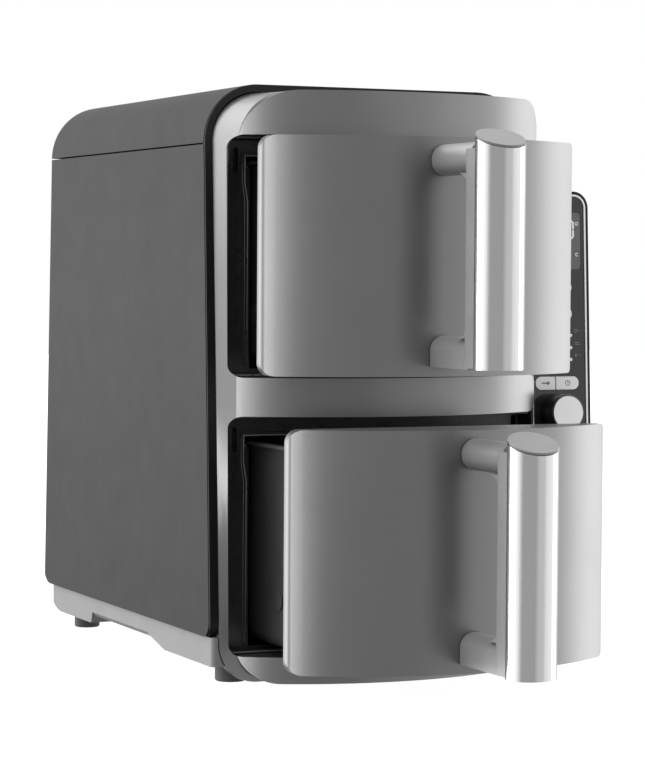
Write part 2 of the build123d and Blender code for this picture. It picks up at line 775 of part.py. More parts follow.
def foot_spots():
    return [(x, y) for x in (-FOOT_X, FOOT_X) for y in (FOOT_FRONT_Y, FOOT_REAR_Y)]


def make_rubber_feet():
    with BuildPart() as rubber_feet:
        with BuildSketch(Plane.XY):
            for x, y in foot_spots():
                with Locations((x, y)):
                    Circle(FOOT_R[y])
        extrude(amount=TRAY_FLOOR)
        chamfer(rubber_feet.edges().group_by(Axis.Z)[0], 0.8)
        with BuildSketch(Plane.XY.offset(TRAY_FLOOR)):
            with Locations(*foot_spots()):
                Circle(PEG_R)
        extrude(amount=TRAY_WALL + 2.0)
    save(rubber_feet.part, "rubber_feet")


def coil_legs():
    """Axes of the two legs of the heating tube, as (x, z)."""
    x = FAN_X - math.sqrt(COIL_R**2 - COIL_LEG_HALF**2)
    return [(x, FAN_Z - COIL_LEG_HALF), (x, FAN_Z + COIL_LEG_HALF)]


def make_liner(name, storey):
    """Sheet-metal bay liner, open in front, with holes in its rear wall."""
    with BuildPart() as liner:
        with BuildSketch(Plane.XZ.offset(-LINER_FRONT)):
            with Locations(((LINER_LEFT + LINER_RIGHT) / 2, (LINER_FLOOR + LINER_CEILING) / 2)):
                RectangleRounded(
                    LINER_RIGHT - LINER_LEFT + 2 * LINER_WALL,
                    LINER_CEILING - LINER_FLOOR + 2 * LINER_WALL,
                    8.0 + LINER_WALL,
                )
        extrude(amount=-(LINER_REAR + LINER_WALL - LINER_FRONT))
        with BuildSketch(Plane.XZ.offset(-LINER_FRONT + 5)):
            with Locations(((LINER_LEFT + LINER_RIGHT) / 2, (LINER_FLOOR + LINER_CEILING) / 2)):
                RectangleRounded(LINER_RIGHT - LINER_LEFT, LINER_CEILING - LINER_FLOOR, 8.0)
        extrude(amount=-(LINER_REAR - LINER_FRONT + 5), mode=Mode.SUBTRACT)
        with BuildSketch(Plane.XZ.offset(-LINER_REAR + 5)):
            with Locations((FAN_X, FAN_Z)):
                Circle(7.0)
            with Locations(*coil_legs()):
                Circle(COIL_TUBE_R + 0.6)
            with Locations((FAN_X + 80.0, FAN_Z + 52.0)):
                Circle(2.4)
            with Locations((FAN_X, FAN_Z)):
                with GridLocations(100.0, 120.0, 2, 2):
                    SlotOverall(26.0, 6.0)
        extrude(amount=-20.0, mode=Mode.SUBTRACT)
    save(liner.part, name, up=storey)


def make_rails(name, storey):
    """Left and right rails that carry the pan's rim."""
    top = PAN_HIGH - RIM_THICK - 0.3
    with BuildPart() as rails:
        with BuildSketch(Plane.XZ.offset(-LINER_FRONT - 1)):
            with BuildLine():
                Polyline(
                    (LINER_LEFT, top - 6),
                    (PAN_LEFT - 2.0, top - 6),
                    (PAN_LEFT - 2.0, top),
                    (PAN_LEFT - RIM_WIDTH - 2.0, top),
                    (PAN_LEFT - RIM_WIDTH - 2.0, top + 7),
                    (LINER_LEFT, top + 7),
                    close=True,
                )
            make_face()
            with BuildLine():
                Polyline(
                    (LINER_RIGHT, top - 6),
                    (PAN_RIGHT + 2.0, top - 6),
                    (PAN_RIGHT + 2.0, top),
                    (PAN_RIGHT + RIM_WIDTH + 2.0, top),
                    (PAN_RIGHT + RIM_WIDTH + 2.0, top + 7),
                    (LINER_RIGHT, top + 7),
                    close=True,
                )
            make_face()
        extrude(amount=-(GUARD_Y - LINER_FRONT - 4))
    save(rails.part, name, up=storey)


def make_fan_guard(name, storey):
    """Perforated plate between the bay and the fan chamber."""
    with BuildPart() as guard:
        with BuildSketch(Plane.XZ.offset(-GUARD_Y - GUARD_THICK)):
            with Locations(((LINER_LEFT + LINER_RIGHT) / 2, (LINER_FLOOR + LINER_CEILING) / 2)):
                RectangleRounded(LINER_RIGHT - LINER_LEFT - 0.4, LINER_CEILING - LINER_FLOOR - 0.4, 7.8)
            with Locations((FAN_X, FAN_Z)):
                for ring in range(1, 6):
                    with PolarLocations(10.0 * ring, 6 * ring):
                        Circle(3.0, mode=Mode.SUBTRACT)
        extrude(amount=GUARD_THICK)
    save(guard.part, name, up=storey)


def make_heater(name, storey):
    """Ring of heating tube with two legs that leave through the liner's rear wall."""
    gap = math.degrees(math.asin(COIL_LEG_HALF / COIL_R))
    middle = Plane(origin=(FAN_X, COIL_Y, FAN_Z), x_dir=(1, 0, 0), z_dir=(0, -1, 0))
    with BuildPart() as heater:
        with BuildLine(middle) as ring:
            CenterArc((0, 0), COIL_R, 180.0 + gap, 360.0 - 2 * gap)
        with BuildSketch(Plane(origin=ring.line @ 0, z_dir=ring.line % 0)):
            Circle(COIL_TUBE_R)
        sweep()
        with BuildSketch(Plane.XZ.offset(-COIL_Y)):
            with Locations(*coil_legs()):
                Circle(COIL_TUBE_R)
        extrude(amount=-24.0)
    save(heater.part, name, up=storey)


def make_motor(name, storey):
    """Fan motor with its flange on the liner's rear wall and a bearing bore."""
    with BuildPart() as motor:
        with BuildSketch(Plane.XZ.offset(-MOTOR_FRONT)):
            with Locations((FAN_X, FAN_Z)):
                Circle(MOTOR_R + 7.0)
        extrude(amount=-2.0)
        with BuildSketch(Plane.XZ.offset(-MOTOR_FRONT)):
            with Locations((FAN_X, FAN_Z)):
                Circle(MOTOR_R)
        extrude(amount=-(MOTOR_BACK - MOTOR_FRONT))
        fillet(motor.edges().sort_by(Axis.Y)[-1], 3.0)
        with BuildSketch(Plane.XZ.offset(-MOTOR_BACK)):
            with Locations((FAN_X, FAN_Z)):
                Circle(8.0)
        extrude(amount=-3.0)
        with BuildSketch(Plane.XZ.offset(-MOTOR_FRONT + 1)):
            with Locations((FAN_X, FAN_Z)):
                Circle(BORE_R)
        extrude(amount=-28.0, mode=Mode.SUBTRACT)
    save(motor.part, name, up=storey)


def make_fan(name, storey):
    """Radial impeller with its shaft."""
    with BuildPart() as fan:
        with BuildSketch(Plane.XZ.offset(-FAN_FRONT)):
            with Locations((FAN_X, FAN_Z)):
                Circle(FAN_HUB_R)
        extrude(amount=-(FAN_BACK - FAN_FRONT))
        with BuildSketch(Plane.XZ.offset(-FAN_BACK + 1.2)):
            with Locations((FAN_X, FAN_Z)):
                Circle(FAN_R)
        extrude(amount=-1.2)
        with BuildSketch(Plane.XZ.offset(-FAN_FRONT - 1)):
            with Locations((FAN_X, FAN_Z)):
                with PolarLocations((FAN_R + FAN_HUB_R) / 2 - 1.5, BLADES):
                    Rectangle(FAN_R - FAN_HUB_R, 1.2, rotation=14)
        extrude(amount=-(FAN_BACK - FAN_FRONT - 1.5))
        with BuildSketch(Plane.XZ.offset(-FAN_BACK)):
            with Locations((FAN_X, FAN_Z)):
                Circle(SHAFT_R)
        extrude(amount=-29.0)
    save(fan.part, name, up=storey)


def make_heat_shield():
    """Folded sheet between the two bays."""
    with BuildPart() as heat_shield:
        with BuildSketch(Plane.XZ.offset(-32.0)):
            with BuildLine():
                Polyline(
                    (-138.5, 176.0),
                    (-137.5, 176.0),
                    (-137.5, 182.5),
                    (88.5, 182.5),
                    (88.5, 176.0),
                    (89.5, 176.0),
                    (89.5, 183.5),
                    (-138.5, 183.5),
                    close=True,
                )
            make_face()
        extrude(amount=-268.0)
    save(heat_shield.part, "heat_shield")


def make_thermistors():
    with BuildPart() as thermistors:
        for storey in (0.0, STOREY):
            spot = (FAN_X + 80.0, FAN_Z + 52.0 + storey)
            with BuildSketch(Plane.XZ.offset(-246.0)):
                with Locations(spot):
                    Circle(2.0)
            extrude(amount=-24.0)
            with BuildSketch(Plane.XZ.offset(-LINER_REAR - LINER_WALL)):
                with Locations(spot):
                    Circle(4.5)
            extrude(amount=-2.5)
    save(thermistors.part, "thermistors")


def make_drawer_sensors():
    with BuildPart() as drawer_sensors:
        with BuildSketch(Plane.XZ.offset(-FRAME_Y - FRAME_THICK)):
            with Locations((-127.5, 109.0), (-127.5, 109.0 + STOREY)):
                Rectangle(12.0, 18.0)
        extrude(amount=-9.0)
    save(drawer_sensors.part, "drawer_sensors")


def make_drawer_front(name, out, storey):
    """Bowed silver front with returns on all sides and holes for the handle screws."""
    slab = bow_slab(0.0, DRAWER_LEFT, DRAWER_RIGHT, DRAWER_BACK_Y, DRAWER_LOW, DRAWER_HIGH)
    inside = bow_slab(
        DRAWER_SKIN,
        DRAWER_LEFT + DRAWER_SKIN,
        DRAWER_RIGHT - DRAWER_SKIN,
        DRAWER_BACK_Y + 5,
        DRAWER_LOW + DRAWER_SKIN,
        DRAWER_HIGH - DRAWER_SKIN,
    )
    with BuildPart() as front:
        add(slab)
        uprights = front.edges().filter_by(Axis.Z)
        fillet(uprights.sort_by(Axis.X)[:2].sort_by(Axis.Y)[0], DRAWER_END_R)
        with BuildSketch(Plane.XZ.offset(-50.0)):
            with BuildLine():
                Polyline(
                    (DRAWER_LEFT, DRAWER_LOW),
                    (DRAWER_RIGHT, DRAWER_LOW),
                    (DRAWER_RIGHT, DRAWER_HIGH),
                    (DRAWER_LEFT, DRAWER_HIGH),
                    close=True,
                )
            make_face()
            fillet(vertices().sort_by(Axis.X)[:2], DRAWER_CORNER)
            fillet(vertices().sort_by(Axis.X)[-2:], 3.0)
        extrude(amount=150.0, mode=Mode.INTERSECT)
        add(inside, mode=Mode.SUBTRACT)
        with BuildSketch(Plane.XZ.offset(10.0)):
            with Locations(*arm_centres()):
                Circle(2.2)
        extrude(amount=60.0, mode=Mode.SUBTRACT)
    save(front.part, name, forward=out, up=storey)


def arm_centres():
    """Screw axes through the two handle arms, as (x, z)."""
    return [(HANDLE_X, ARM_LOW_Z + ARM_TALL / 2), (HANDLE_X, ARM_HIGH_Z + ARM_TALL / 2)]


def make_drawer_back(name, out, storey):
    """Inner panel that closes the hollow front."""
    inset = DRAWER_SKIN + 0.1
    wide = DRAWER_RIGHT - DRAWER_LEFT - 2 * inset
    tall = DRAWER_HIGH - DRAWER_LOW - 2 * inset
    with BuildPart() as back:
        with BuildSketch(Plane.XZ.offset(-DRAWER_BACK_Y)):
            with Locations(((DRAWER_LEFT + DRAWER_RIGHT) / 2, (DRAWER_LOW + DRAWER_HIGH) / 2)):
                RectangleRounded(wide, tall, DRAWER_CORNER - 1.0)
        extrude(amount=2.6)
    save(back.part, name, forward=out, up=storey)


def column_oval(inset):
    """Oval plan of the handle column."""
    with BuildSketch() as oval:
        with Locations((HANDLE_X, COLUMN_Y)):
            Ellipse(COLUMN_HALF_X - inset, COLUMN_HALF_Y - inset)
    return oval.sketch


def slanted_side(drop, ahead):
    """Side outline under the slanted top of the column, lowered by a drop."""
    slope = (COLUMN_TOP_BACK - COLUMN_TOP_FRONT) / (2 * COLUMN_HALF_Y)
    front = COLUMN_Y - COLUMN_HALF_Y - ahead
    back = COLUMN_Y + COLUMN_HALF_Y + ahead
    with BuildSketch() as side:
        with BuildLine():
            Polyline(
                (front, 0.0),
                (back, 0.0),
                (back, COLUMN_TOP_BACK + slope * ahead - drop),
                (front, COLUMN_TOP_FRONT - slope * ahead - drop),
                close=True,
            )
        make_face()
    return side.sketch


def arm_profiles(inset):
    """Sections of the two handle arms: the lower one flat below, the upper one round."""
    middles = (ARM_LOW_Z + ARM_TALL / 2, ARM_HIGH_Z + ARM_TALL / 2)
    round_r = ARM_HALF - 1.0
    with BuildSketch() as profiles:
        with BuildLine():
            Polyline(
                (HANDLE_X - ARM_HALF + inset, ARM_LOW_Z + inset),
                (HANDLE_X + ARM_HALF - inset, ARM_LOW_Z + inset),
                (HANDLE_X + ARM_HALF - inset, ARM_LOW_Z + ARM_TALL - inset),
                (HANDLE_X - ARM_HALF + inset, ARM_LOW_Z + ARM_TALL - inset),
                close=True,
            )
        make_face()
        fillet(vertices().sort_by(Axis.Y)[-2:], round_r - inset)
        with Locations((HANDLE_X, middles[1])):
            RectangleRounded(2 * (ARM_HALF - inset), ARM_TALL - 2 * inset, round_r - inset)
    return profiles.sketch


def web_flare(level, turn):
    """Concave corner between the spine and an arm, drawn in the side plane."""
    corner = COLUMN_Y + WEB_BACK - 0.5
    root = level - turn * 0.5
    tip = level + turn * FLARE_R
    with BuildSketch() as flare:
        with BuildLine():
            Line((corner, root), (corner + FLARE_R, root))
            RadiusArc((corner + FLARE_R, root), (corner, tip), FLARE_R * turn)
            Line((corner, tip), (corner, root))
        make_face()
    return flare.sketch


def make_handle_bracket(name, out, storey):
    """Grey bracket: two arms from the drawer front and an upright spine."""
    surface = bow_slab(0.0, -60.0, 20.0, 60.0, 0.0, 200.0)
    ahead = bow_slab(-ARM_NECK, -60.0, 20.0, 60.0, 0.0, 200.0)
    with BuildPart() as bracket:
        with BuildSketch(Plane.XZ.offset(-COLUMN_Y - WEB_BACK + 2)):
            add(arm_profiles(0.0))
        extrude(amount=-80.0)
        add(ahead, mode=Mode.SUBTRACT)
        with BuildSketch(Plane.XZ.offset(-COLUMN_Y - WEB_BACK + 2)):
            add(arm_profiles(ARM_NECK))
        extrude(amount=-80.0)
        add(surface, mode=Mode.SUBTRACT)
        with BuildSketch(Plane.XY.offset(COLUMN_LOW_Z)):
            with Locations((HANDLE_X, COLUMN_Y + (SLEEVE_BACK + 0.1 + WEB_BACK) / 2)):
                Rectangle(2 * WEB_HALF, WEB_BACK - SLEEVE_BACK - 0.1)
            fillet(vertices().sort_by(Axis.Y)[-2:], 3.0)
        extrude(amount=WEB_TOP_Z - COLUMN_LOW_Z)
        with BuildSketch(Plane.YZ.offset(HANDLE_X - ARM_HALF + 0.9)):
            add(web_flare(ARM_LOW_Z + ARM_TALL, 1))
            add(web_flare(ARM_HIGH_Z, -1))
        extrude(amount=2 * (ARM_HALF - 0.9))
        with BuildSketch(Plane.XY.offset(COLUMN_LOW_Z)):
            add(column_oval(SLEEVE_WALL + 0.1))
        extrude(amount=COLUMN_TOP_BACK - COLUMN_LOW_Z)
        with BuildSketch(Plane.YZ.offset(-FAR)):
            add(slanted_side(CAP_THICK, 100.0))
        extrude(amount=2 * FAR, mode=Mode.INTERSECT)
        with BuildSketch(Plane.XZ.offset(20.0)):
            with Locations(*arm_centres()):
                Circle(2.0)
        extrude(amount=40.0, mode=Mode.SUBTRACT)
    save(bracket.part, name, forward=out, up=storey)


def make_handle_sleeve(name, out, storey):
    """Polished sleeve round the front of the column, open along its back."""
    with BuildPart() as sleeve:
        with BuildSketch(Plane.XY.offset(SLEEVE_LOW_Z)):
            add(column_oval(0.0))
            add(column_oval(SLEEVE_WALL), mode=Mode.SUBTRACT)
            with Locations((HANDLE_X, COLUMN_Y + SLEEVE_BACK + 10.0)):
                Rectangle(60.0, 20.0, mode=Mode.SUBTRACT)
        extrude(amount=COLUMN_TOP_BACK - SLEEVE_LOW_Z + 10)
        with BuildSketch(Plane.YZ.offset(-FAR)):
            add(slanted_side(CAP_THICK + 0.3, 30.0))
        extrude(amount=2 * FAR, mode=Mode.INTERSECT)
    save(sleeve.part, name, forward=out, up=storey)


def make_handle_cap(name, out, storey):
    """Oval cap that closes the slanted top of the column."""
    with BuildPart() as cap:
        with BuildSketch(Plane.XY.offset(100.0)):
            add(column_oval(CAP_INSET))
        extrude(amount=90.0)
        with BuildSketch(Plane.YZ.offset(-FAR)):
            add(slanted_side(0.0, 30.0))
            add(slanted_side(CAP_THICK, 31.0), mode=Mode.SUBTRACT)
        extrude(amount=2 * FAR, mode=Mode.INTERSECT)
    save(cap.part, name, forward=out, up=storey)


def make_handle_screws(name, out, storey):
    """Two screws from inside the hollow front into the handle arms."""
    seat = -BOW_CENTRE_Y + math.sqrt((BOW_RADIUS - DRAWER_SKIN) ** 2 - (HANDLE_X - BOW_CENTRE_X) ** 2)
    with BuildPart() as screws:
        with BuildSketch(Plane.XZ.offset(seat - 0.06)):
            with Locations(*arm_centres()):
                Circle(4.0)
        extrude(amount=-2.6)
        with BuildSketch(Plane.XZ.offset(seat)):
            with Locations(*arm_centres()):
                Circle(1.95)
        extrude(amount=16.0)
    save(screws.part, name, forward=out, up=storey)


def pan_box(inset, low, high, floor_radius):
    """Rounded tub, shrunk by an inset."""
    wide = PAN_RIGHT - PAN_LEFT - 2 * inset
    deep = PAN_REAR - PAN_FRONT - 2 * inset
    with BuildPart() as box:
        with BuildSketch(Plane.XY.offset(low)):
            with Locations(((PAN_LEFT + PAN_RIGHT) / 2, (PAN_FRONT + PAN_REAR) / 2)):
                RectangleRounded(wide, deep, PAN_CORNER - inset)
        extrude(amount=high - low)
        fillet(box.faces().sort_by(Axis.Z)[0].edges(), floor_radius)
    return box.part


def make_pan(name, out, storey):
    """Deep pan with an outward rim that runs on the rails."""
    outer = pan_box(0.0, PAN_LOW, PAN_HIGH, PAN_FLOOR_R)
    inner = pan_box(PAN_WALL, PAN_LOW + PAN_WALL, PAN_HIGH + 20, PAN_FLOOR_R - PAN_WALL)
    with BuildPart() as pan:
        add(outer)
        with BuildSketch(Plane.XY.offset(PAN_HIGH - RIM_THICK)):
            with BuildLine():
                Polyline(
                    (PAN_LEFT - RIM_WIDTH, PAN_FRONT),
                    (PAN_RIGHT + RIM_WIDTH, PAN_FRONT),
                    (PAN_RIGHT + RIM_WIDTH, PAN_REAR + 3.0),
                    (PAN_LEFT - RIM_WIDTH, PAN_REAR + 3.0),
                    close=True,
                )
            make_face()
            fillet(vertices().sort_by(Axis.Y)[-2:], PAN_CORNER + 3.0)
        extrude(amount=RIM_THICK)
        with BuildSketch(Plane.YZ.offset(PAN_LEFT - 0.9)):
            with Locations((65.0, 56.0)):
                Circle(6.0)
        extrude(amount=3.0)
        add(inner, mode=Mode.SUBTRACT)
    save(pan.part, name, forward=out, up=storey)


def plate_feet_spots():
    middle = ((PAN_LEFT + PAN_RIGHT) / 2, (PAN_FRONT + PAN_REAR) / 2)
    return [(middle[0] + 74.0 * i, middle[1] + 94.0 * j) for i in (-1, 1) for j in (-1, 1)]


def make_crisper_plate(name, out, storey):
    """Perforated plate that stands in the pan."""
    with BuildPart() as plate:
        with BuildSketch(Plane.XY.offset(PLATE_Z)):
            with Locations(((PAN_LEFT + PAN_RIGHT) / 2, (PAN_FRONT + PAN_REAR) / 2)):
                inset = PAN_WALL + PLATE_GAP
                RectangleRounded(
                    PAN_RIGHT - PAN_LEFT - 2 * inset,
                    PAN_REAR - PAN_FRONT - 2 * inset,
                    PAN_CORNER - inset,
                )
                with GridLocations(16.0, 16.0, 9, 11):
                    Circle(3.6, mode=Mode.SUBTRACT)
            with Locations(*plate_feet_spots()):
                Circle(2.6, mode=Mode.SUBTRACT)
        extrude(amount=PLATE_THICK)
    save(plate.part, name, forward=out, up=storey)


def make_plate_feet(name, out, storey):
    """Silicone feet pushed through the crisper plate's corners."""
    floor = PAN_LOW + PAN_WALL + 0.3
    with BuildPart() as feet:
        for low, high, radius in (
            (floor, PLATE_Z, 5.0),
            (PLATE_Z, PLATE_Z + PLATE_THICK, 2.5),
            (PLATE_Z + PLATE_THICK, PLATE_Z + PLATE_THICK + 2.0, 4.0),
        ):
            with BuildSketch(Plane.XY.offset(low)):
                with Locations(*plate_feet_spots()):
                    Circle(radius)
            extrude(amount=high - low)
    save(feet.part, name, forward=out, up=storey)


def pod_outline(inset, low=POD_LOW):
    """Front outline of the control column in face coordinates."""
    left, right = POD_LEFT + inset, POD_RIGHT - inset
    bottom, top = pod_up(low) + inset, pod_up(POD_TOP) - inset
    with BuildSketch() as outline:
        with BuildLine():
            Polyline((left, bottom), (right, bottom), (right, top), (left, top), close=True)
        make_face()
        corners = {
            (right, top): POD_TOP_R,
            (left, top): POD_LEFT_R,
            (right, bottom): POD_LEFT_R,
            (left, bottom): POD_LEFT_R,
        }
        for spot, radius in corners.items():
            fillet(vertices().sort_by_distance((*spot, 0))[0], max(radius - inset, 0.8))
    return outline.sketch


def pod_block(inset, rear):
    """Rounded column in plan and elevation, shrunk by an inset."""
    with BuildPart() as block:
        with BuildSketch(Plane.XZ.offset(-rear)):
            with BuildLine():
                Polyline(
                    (POD_LEFT + inset, POD_LOW + inset),
                    (POD_RIGHT - inset, POD_LOW + inset),
                    (POD_RIGHT - inset, POD_TOP - inset),
                    (POD_LEFT + inset, POD_TOP - inset),
                    close=True,
                )
            make_face()
            fillet(vertices().sort_by_distance((POD_RIGHT, POD_TOP, 0))[0], POD_TOP_R - inset)
        extrude(amount=rear + 40.0)
        around = block.faces().sort_by(Axis.Y)[-1].edges().filter_by(
            lambda edge: edge.center().X > POD_LEFT + 5 and edge.center().Z > POD_LOW + 5
        )
        fillet(around, POD_REAR_R - inset)
    return block.part


def make_pod_housing():
    """Control column housing, open in front."""
    outer = pod_block(0.0, POD_REAR)
    inner = pod_block(POD_WALL, POD_REAR - POD_WALL)
    with BuildPart() as pod_housing:
        add(outer)
        add(inner, mode=Mode.SUBTRACT)
        split(bisect_by=pod_plane(-BEZEL_THICK), keep=Keep.BOTTOM)
        with BuildSketch(Plane.XZ.offset(-POD_REAR - 5)):
            with Locations(CORD_INLET):
                Circle(8.2)
        extrude(amount=12.0, mode=Mode.SUBTRACT)
        with BuildSketch(Plane.YZ.offset(POD_LEFT - 3)):
            with Locations((60.0, 200.0), (60.0, 90.0)):
                SlotOverall(40.0, 16.0)
        extrude(amount=8.0, mode=Mode.SUBTRACT)
    save(pod_housing.part, "pod_housing")


def make_pod_bezel():
    with BuildPart() as pod_bezel:
        with BuildSketch(pod_plane(-BEZEL_THICK)):
            add(pod_outline(0.0))
            add(pod_outline(BEZEL_WIDTH), mode=Mode.SUBTRACT)
        extrude(amount=BEZEL_THICK)
    save(pod_bezel.part, "pod_bezel")


def make_trim_ring():
    with BuildPart() as trim_ring:
        with BuildSketch(pod_plane(-BEZEL_THICK + 0.5)):
            add(pod_outline(BEZEL_WIDTH + 0.05))
            add(pod_outline(BEZEL_WIDTH + TRIM_WIDTH), mode=Mode.SUBTRACT)
        extrude(amount=BEZEL_THICK - 0.2)
    save(trim_ring.part, "trim_ring")


def window_size():
    left, right, low, high = WINDOW
    centre = ((left + right) / 2, pod_up((low + high) / 2))
    return centre, right - left, high - low


def make_control_glass():
    """Dark front panel with holes for the buttons, lamps, display and dial."""
    centre, wide, tall = window_size()
    pill_left = PILL_EDGES["temp_button"][0] - BUTTON_GAP
    pill_right = PILL_EDGES["time_button"][1] + BUTTON_GAP
    with BuildPart() as control_glass:
        with BuildSketch(pod_plane(-GLASS_DEPTH - GLASS_THICK)):
            add(pod_outline(BEZEL_WIDTH + TRIM_WIDTH + 0.1))
            with Locations(centre):
                RectangleRounded(wide + 0.3, tall + 0.3, 3.0, mode=Mode.SUBTRACT)
            for x, z, radius in ROUND_BUTTONS.values():
                with Locations((x, pod_up(z))):
                    Circle(radius + BUTTON_GAP, mode=Mode.SUBTRACT)
            with Locations(*[(x, pod_up(z)) for x, z in LAMPS]):
                Circle(LAMP_R + 0.05, mode=Mode.SUBTRACT)
            with Locations((DIAL_X, pod_up(DIAL_Z))):
                Circle(SHAFT_R + 0.7, mode=Mode.SUBTRACT)
            with Locations(((pill_left + pill_right) / 2, pod_up(PILL_Z))):
                SlotOverall(pill_right - pill_left, PILL_TALL + 2 * BUTTON_GAP, mode=Mode.SUBTRACT)
        extrude(amount=GLASS_THICK)
    save(control_glass.part, "control_glass")


def make_display_window():
    centre, wide, tall = window_size()
    with BuildPart() as display_window:
        with BuildSketch(pod_plane(-GLASS_DEPTH - GLASS_THICK)):
            with Locations(centre):
                RectangleRounded(wide, tall, 2.9)
        extrude(amount=GLASS_THICK - 0.1)
    save(display_window.part, "display_window")


def make_indicator_lamps():
    with BuildPart() as indicator_lamps:
        with BuildSketch(pod_plane(-GLASS_DEPTH - GLASS_THICK)):
            with Locations(*[(x, pod_up(z)) for x, z in LAMPS]):
                Circle(LAMP_R)
        extrude(amount=GLASS_THICK + 0.1)
    save(indicator_lamps.part, "indicator_lamps")


def button_levels():
    """Offsets of a button's face, flange front, flange back and stem end from the face plane."""
    face = -GLASS_DEPTH + BUTTON_PROUD
    flange = -GLASS_DEPTH - GLASS_THICK - BUTTON_GAP
    return face, flange, flange - BUTTON_FLANGE, flange - BUTTON_FLANGE - BUTTON_STEM


def make_round_button(name):
    x, z, radius = ROUND_BUTTONS[name]
    face, flange, behind, end = button_levels()
    with BuildPart() as button:
        for top, bottom, size in ((face, flange, radius), (flange, behind, radius + 1.0), (behind, end, 1.5)):
            with BuildSketch(pod_plane(bottom)):
                with Locations((x, pod_up(z))):
                    Circle(size)
            extrude(amount=top - bottom)
    save(button.part, name)


def make_pill_button(name):
    """Half of the split pill, rounded at its outer end."""
    left, right = PILL_EDGES[name]
    outer_end = left if name == "temp_button" else right
    face, flange, behind, end = button_levels()
    middle = (left + right) / 2
    with BuildPart() as button:
        with BuildSketch(pod_plane(flange)):
            with Locations((middle, pod_up(PILL_Z))):
                Rectangle(right - left, PILL_TALL)
            outer = vertices().filter_by_position(Axis.X, outer_end - 0.1, outer_end + 0.1)
            fillet(outer, PILL_TALL / 2 - 0.1)
        extrude(amount=face - flange)
        with BuildSketch(pod_plane(behind)):
            with Locations((middle, pod_up(PILL_Z))):
                Rectangle(right - left, PILL_TALL + 2.0)
        extrude(amount=flange - behind)
        with BuildSketch(pod_plane(end)):
            with Locations((middle, pod_up(PILL_Z))):
                Circle(1.5)
        extrude(amount=behind - end)
    save(button.part, name)


def make_dial_knob():
    """Dial body with its stem."""
    with BuildPart() as dial_knob:
        with BuildSketch(pod_plane(-0.1)):
            with Locations((DIAL_X, pod_up(DIAL_Z))):
                Circle(DIAL_R)
        extrude(amount=DIAL_LONG)
        fillet(dial_knob.edges().sort_by(Axis.Y)[0], 1.2)
        with BuildSketch(pod_plane(-0.1)):
            with Locations((DIAL_X, pod_up(DIAL_Z))):
                Circle(SHAFT_R)
        extrude(amount=-9.0)
    save(dial_knob.part, "dial_knob")


def make_dial_cap():
    with BuildPart() as dial_cap:
        with BuildSketch(pod_plane(DIAL_LONG - 0.1)):
            with Locations((DIAL_X, pod_up(DIAL_Z))):
                Circle(DIAL_CAP_R)
        extrude(amount=1.0)
    save(dial_cap.part, "dial_cap")


def make_dial_encoder():
    """Rotary encoder on the control board with a bush for the dial's stem."""
    with BuildPart() as dial_encoder:
        with BuildSketch(pod_plane(-7.0)):
            with Locations((DIAL_X, pod_up(DIAL_Z))):
                Rectangle(14.0, 14.0)
        extrude(amount=-(BOARD_DEPTH - 7.0))
        with BuildSketch(pod_plane(-7.0)):
            with Locations((DIAL_X, pod_up(DIAL_Z))):
                Circle(4.5)
        extrude(amount=3.5)
        with BuildSketch(pod_plane(0.0)):
            with Locations((DIAL_X, pod_up(DIAL_Z))):
                Circle(BORE_R)
        extrude(amount=-9.6, mode=Mode.SUBTRACT)
    save(dial_encoder.part, "dial_encoder")


def make_control_board():
    """Board behind the glass with a push switch under each button."""
    spots = [(x, pod_up(z)) for x, z, _ in ROUND_BUTTONS.values()]
    spots += [((left + right) / 2, pod_up(PILL_Z)) for left, right in PILL_EDGES.values()]
    with BuildPart() as control_board:
        with BuildSketch(pod_plane(-BOARD_DEPTH - BOARD_THICK)):
            with Locations((BOARD_X, pod_up(208.0))):
                RectangleRounded(37.0, 190.0, 2.0)
        extrude(amount=BOARD_THICK)
        with BuildSketch(pod_plane(-BOARD_DEPTH)):
            with Locations(*spots):
                Circle(2.4)
        extrude(amount=1.4)
    save(control_board.part, "control_board")


def make_power_board():
    """Upright mains board on standoffs from the column's inner wall."""
    board_x = POD_LEFT + POD_WALL + 8.0
    with BuildPart() as power_board:
        with BuildSketch(Plane.YZ.offset(board_x)):
            with Locations((160.0, 155.0)):
                Rectangle(180.0, 180.0)
        extrude(amount=BOARD_THICK)
        with BuildSketch(Plane.YZ.offset(POD_LEFT + POD_WALL)):
            with Locations((160.0, 155.0)):
                with GridLocations(160.0, 160.0, 2, 2):
                    Circle(3.5)
        extrude(amount=8.0)
        with BuildSketch(Plane.YZ.offset(board_x + BOARD_THICK)):
            with Locations((120.0, 200.0)):
                Rectangle(42.0, 36.0)
        extrude(amount=26.0)
        with BuildSketch(Plane.YZ.offset(board_x + BOARD_THICK)):
            with Locations((180.0, 200.0), (205.0, 200.0)):
                Circle(9.0)
            with Locations((120.0, 120.0), (150.0, 120.0)):
                Rectangle(18.0, 24.0)
        extrude(amount=20.0)
        with BuildSketch(Plane.YZ.offset(board_x + BOARD_THICK)):
            with Locations((205.0, 120.0)):
                with GridLocations(6.0, 1.0, 7, 1):
                    Rectangle(1.6, 50.0)
        extrude(amount=24.0)
    save(power_board.part, "power_board")


def make_cord_inlet():
    """Bush in the rear of the control column where a mains cord would enter."""
    with BuildPart() as cord_inlet:
        steps = ((POD_REAR + 0.05, POD_REAR + 3.0, 11.0), (POD_REAR - 6.0, POD_REAR + 0.05, 8.0))
        for front, back, radius in steps:
            with BuildSketch(Plane.XZ.offset(-back)):
                with Locations(CORD_INLET):
                    Circle(radius)
            extrude(amount=back - front)
        with BuildSketch(Plane.XZ.offset(-POD_REAR - 10)):
            with Locations(CORD_INLET):
                Circle(4.2)
        extrude(amount=30.0, mode=Mode.SUBTRACT)
    save(cord_inlet.part, "cord_inlet")


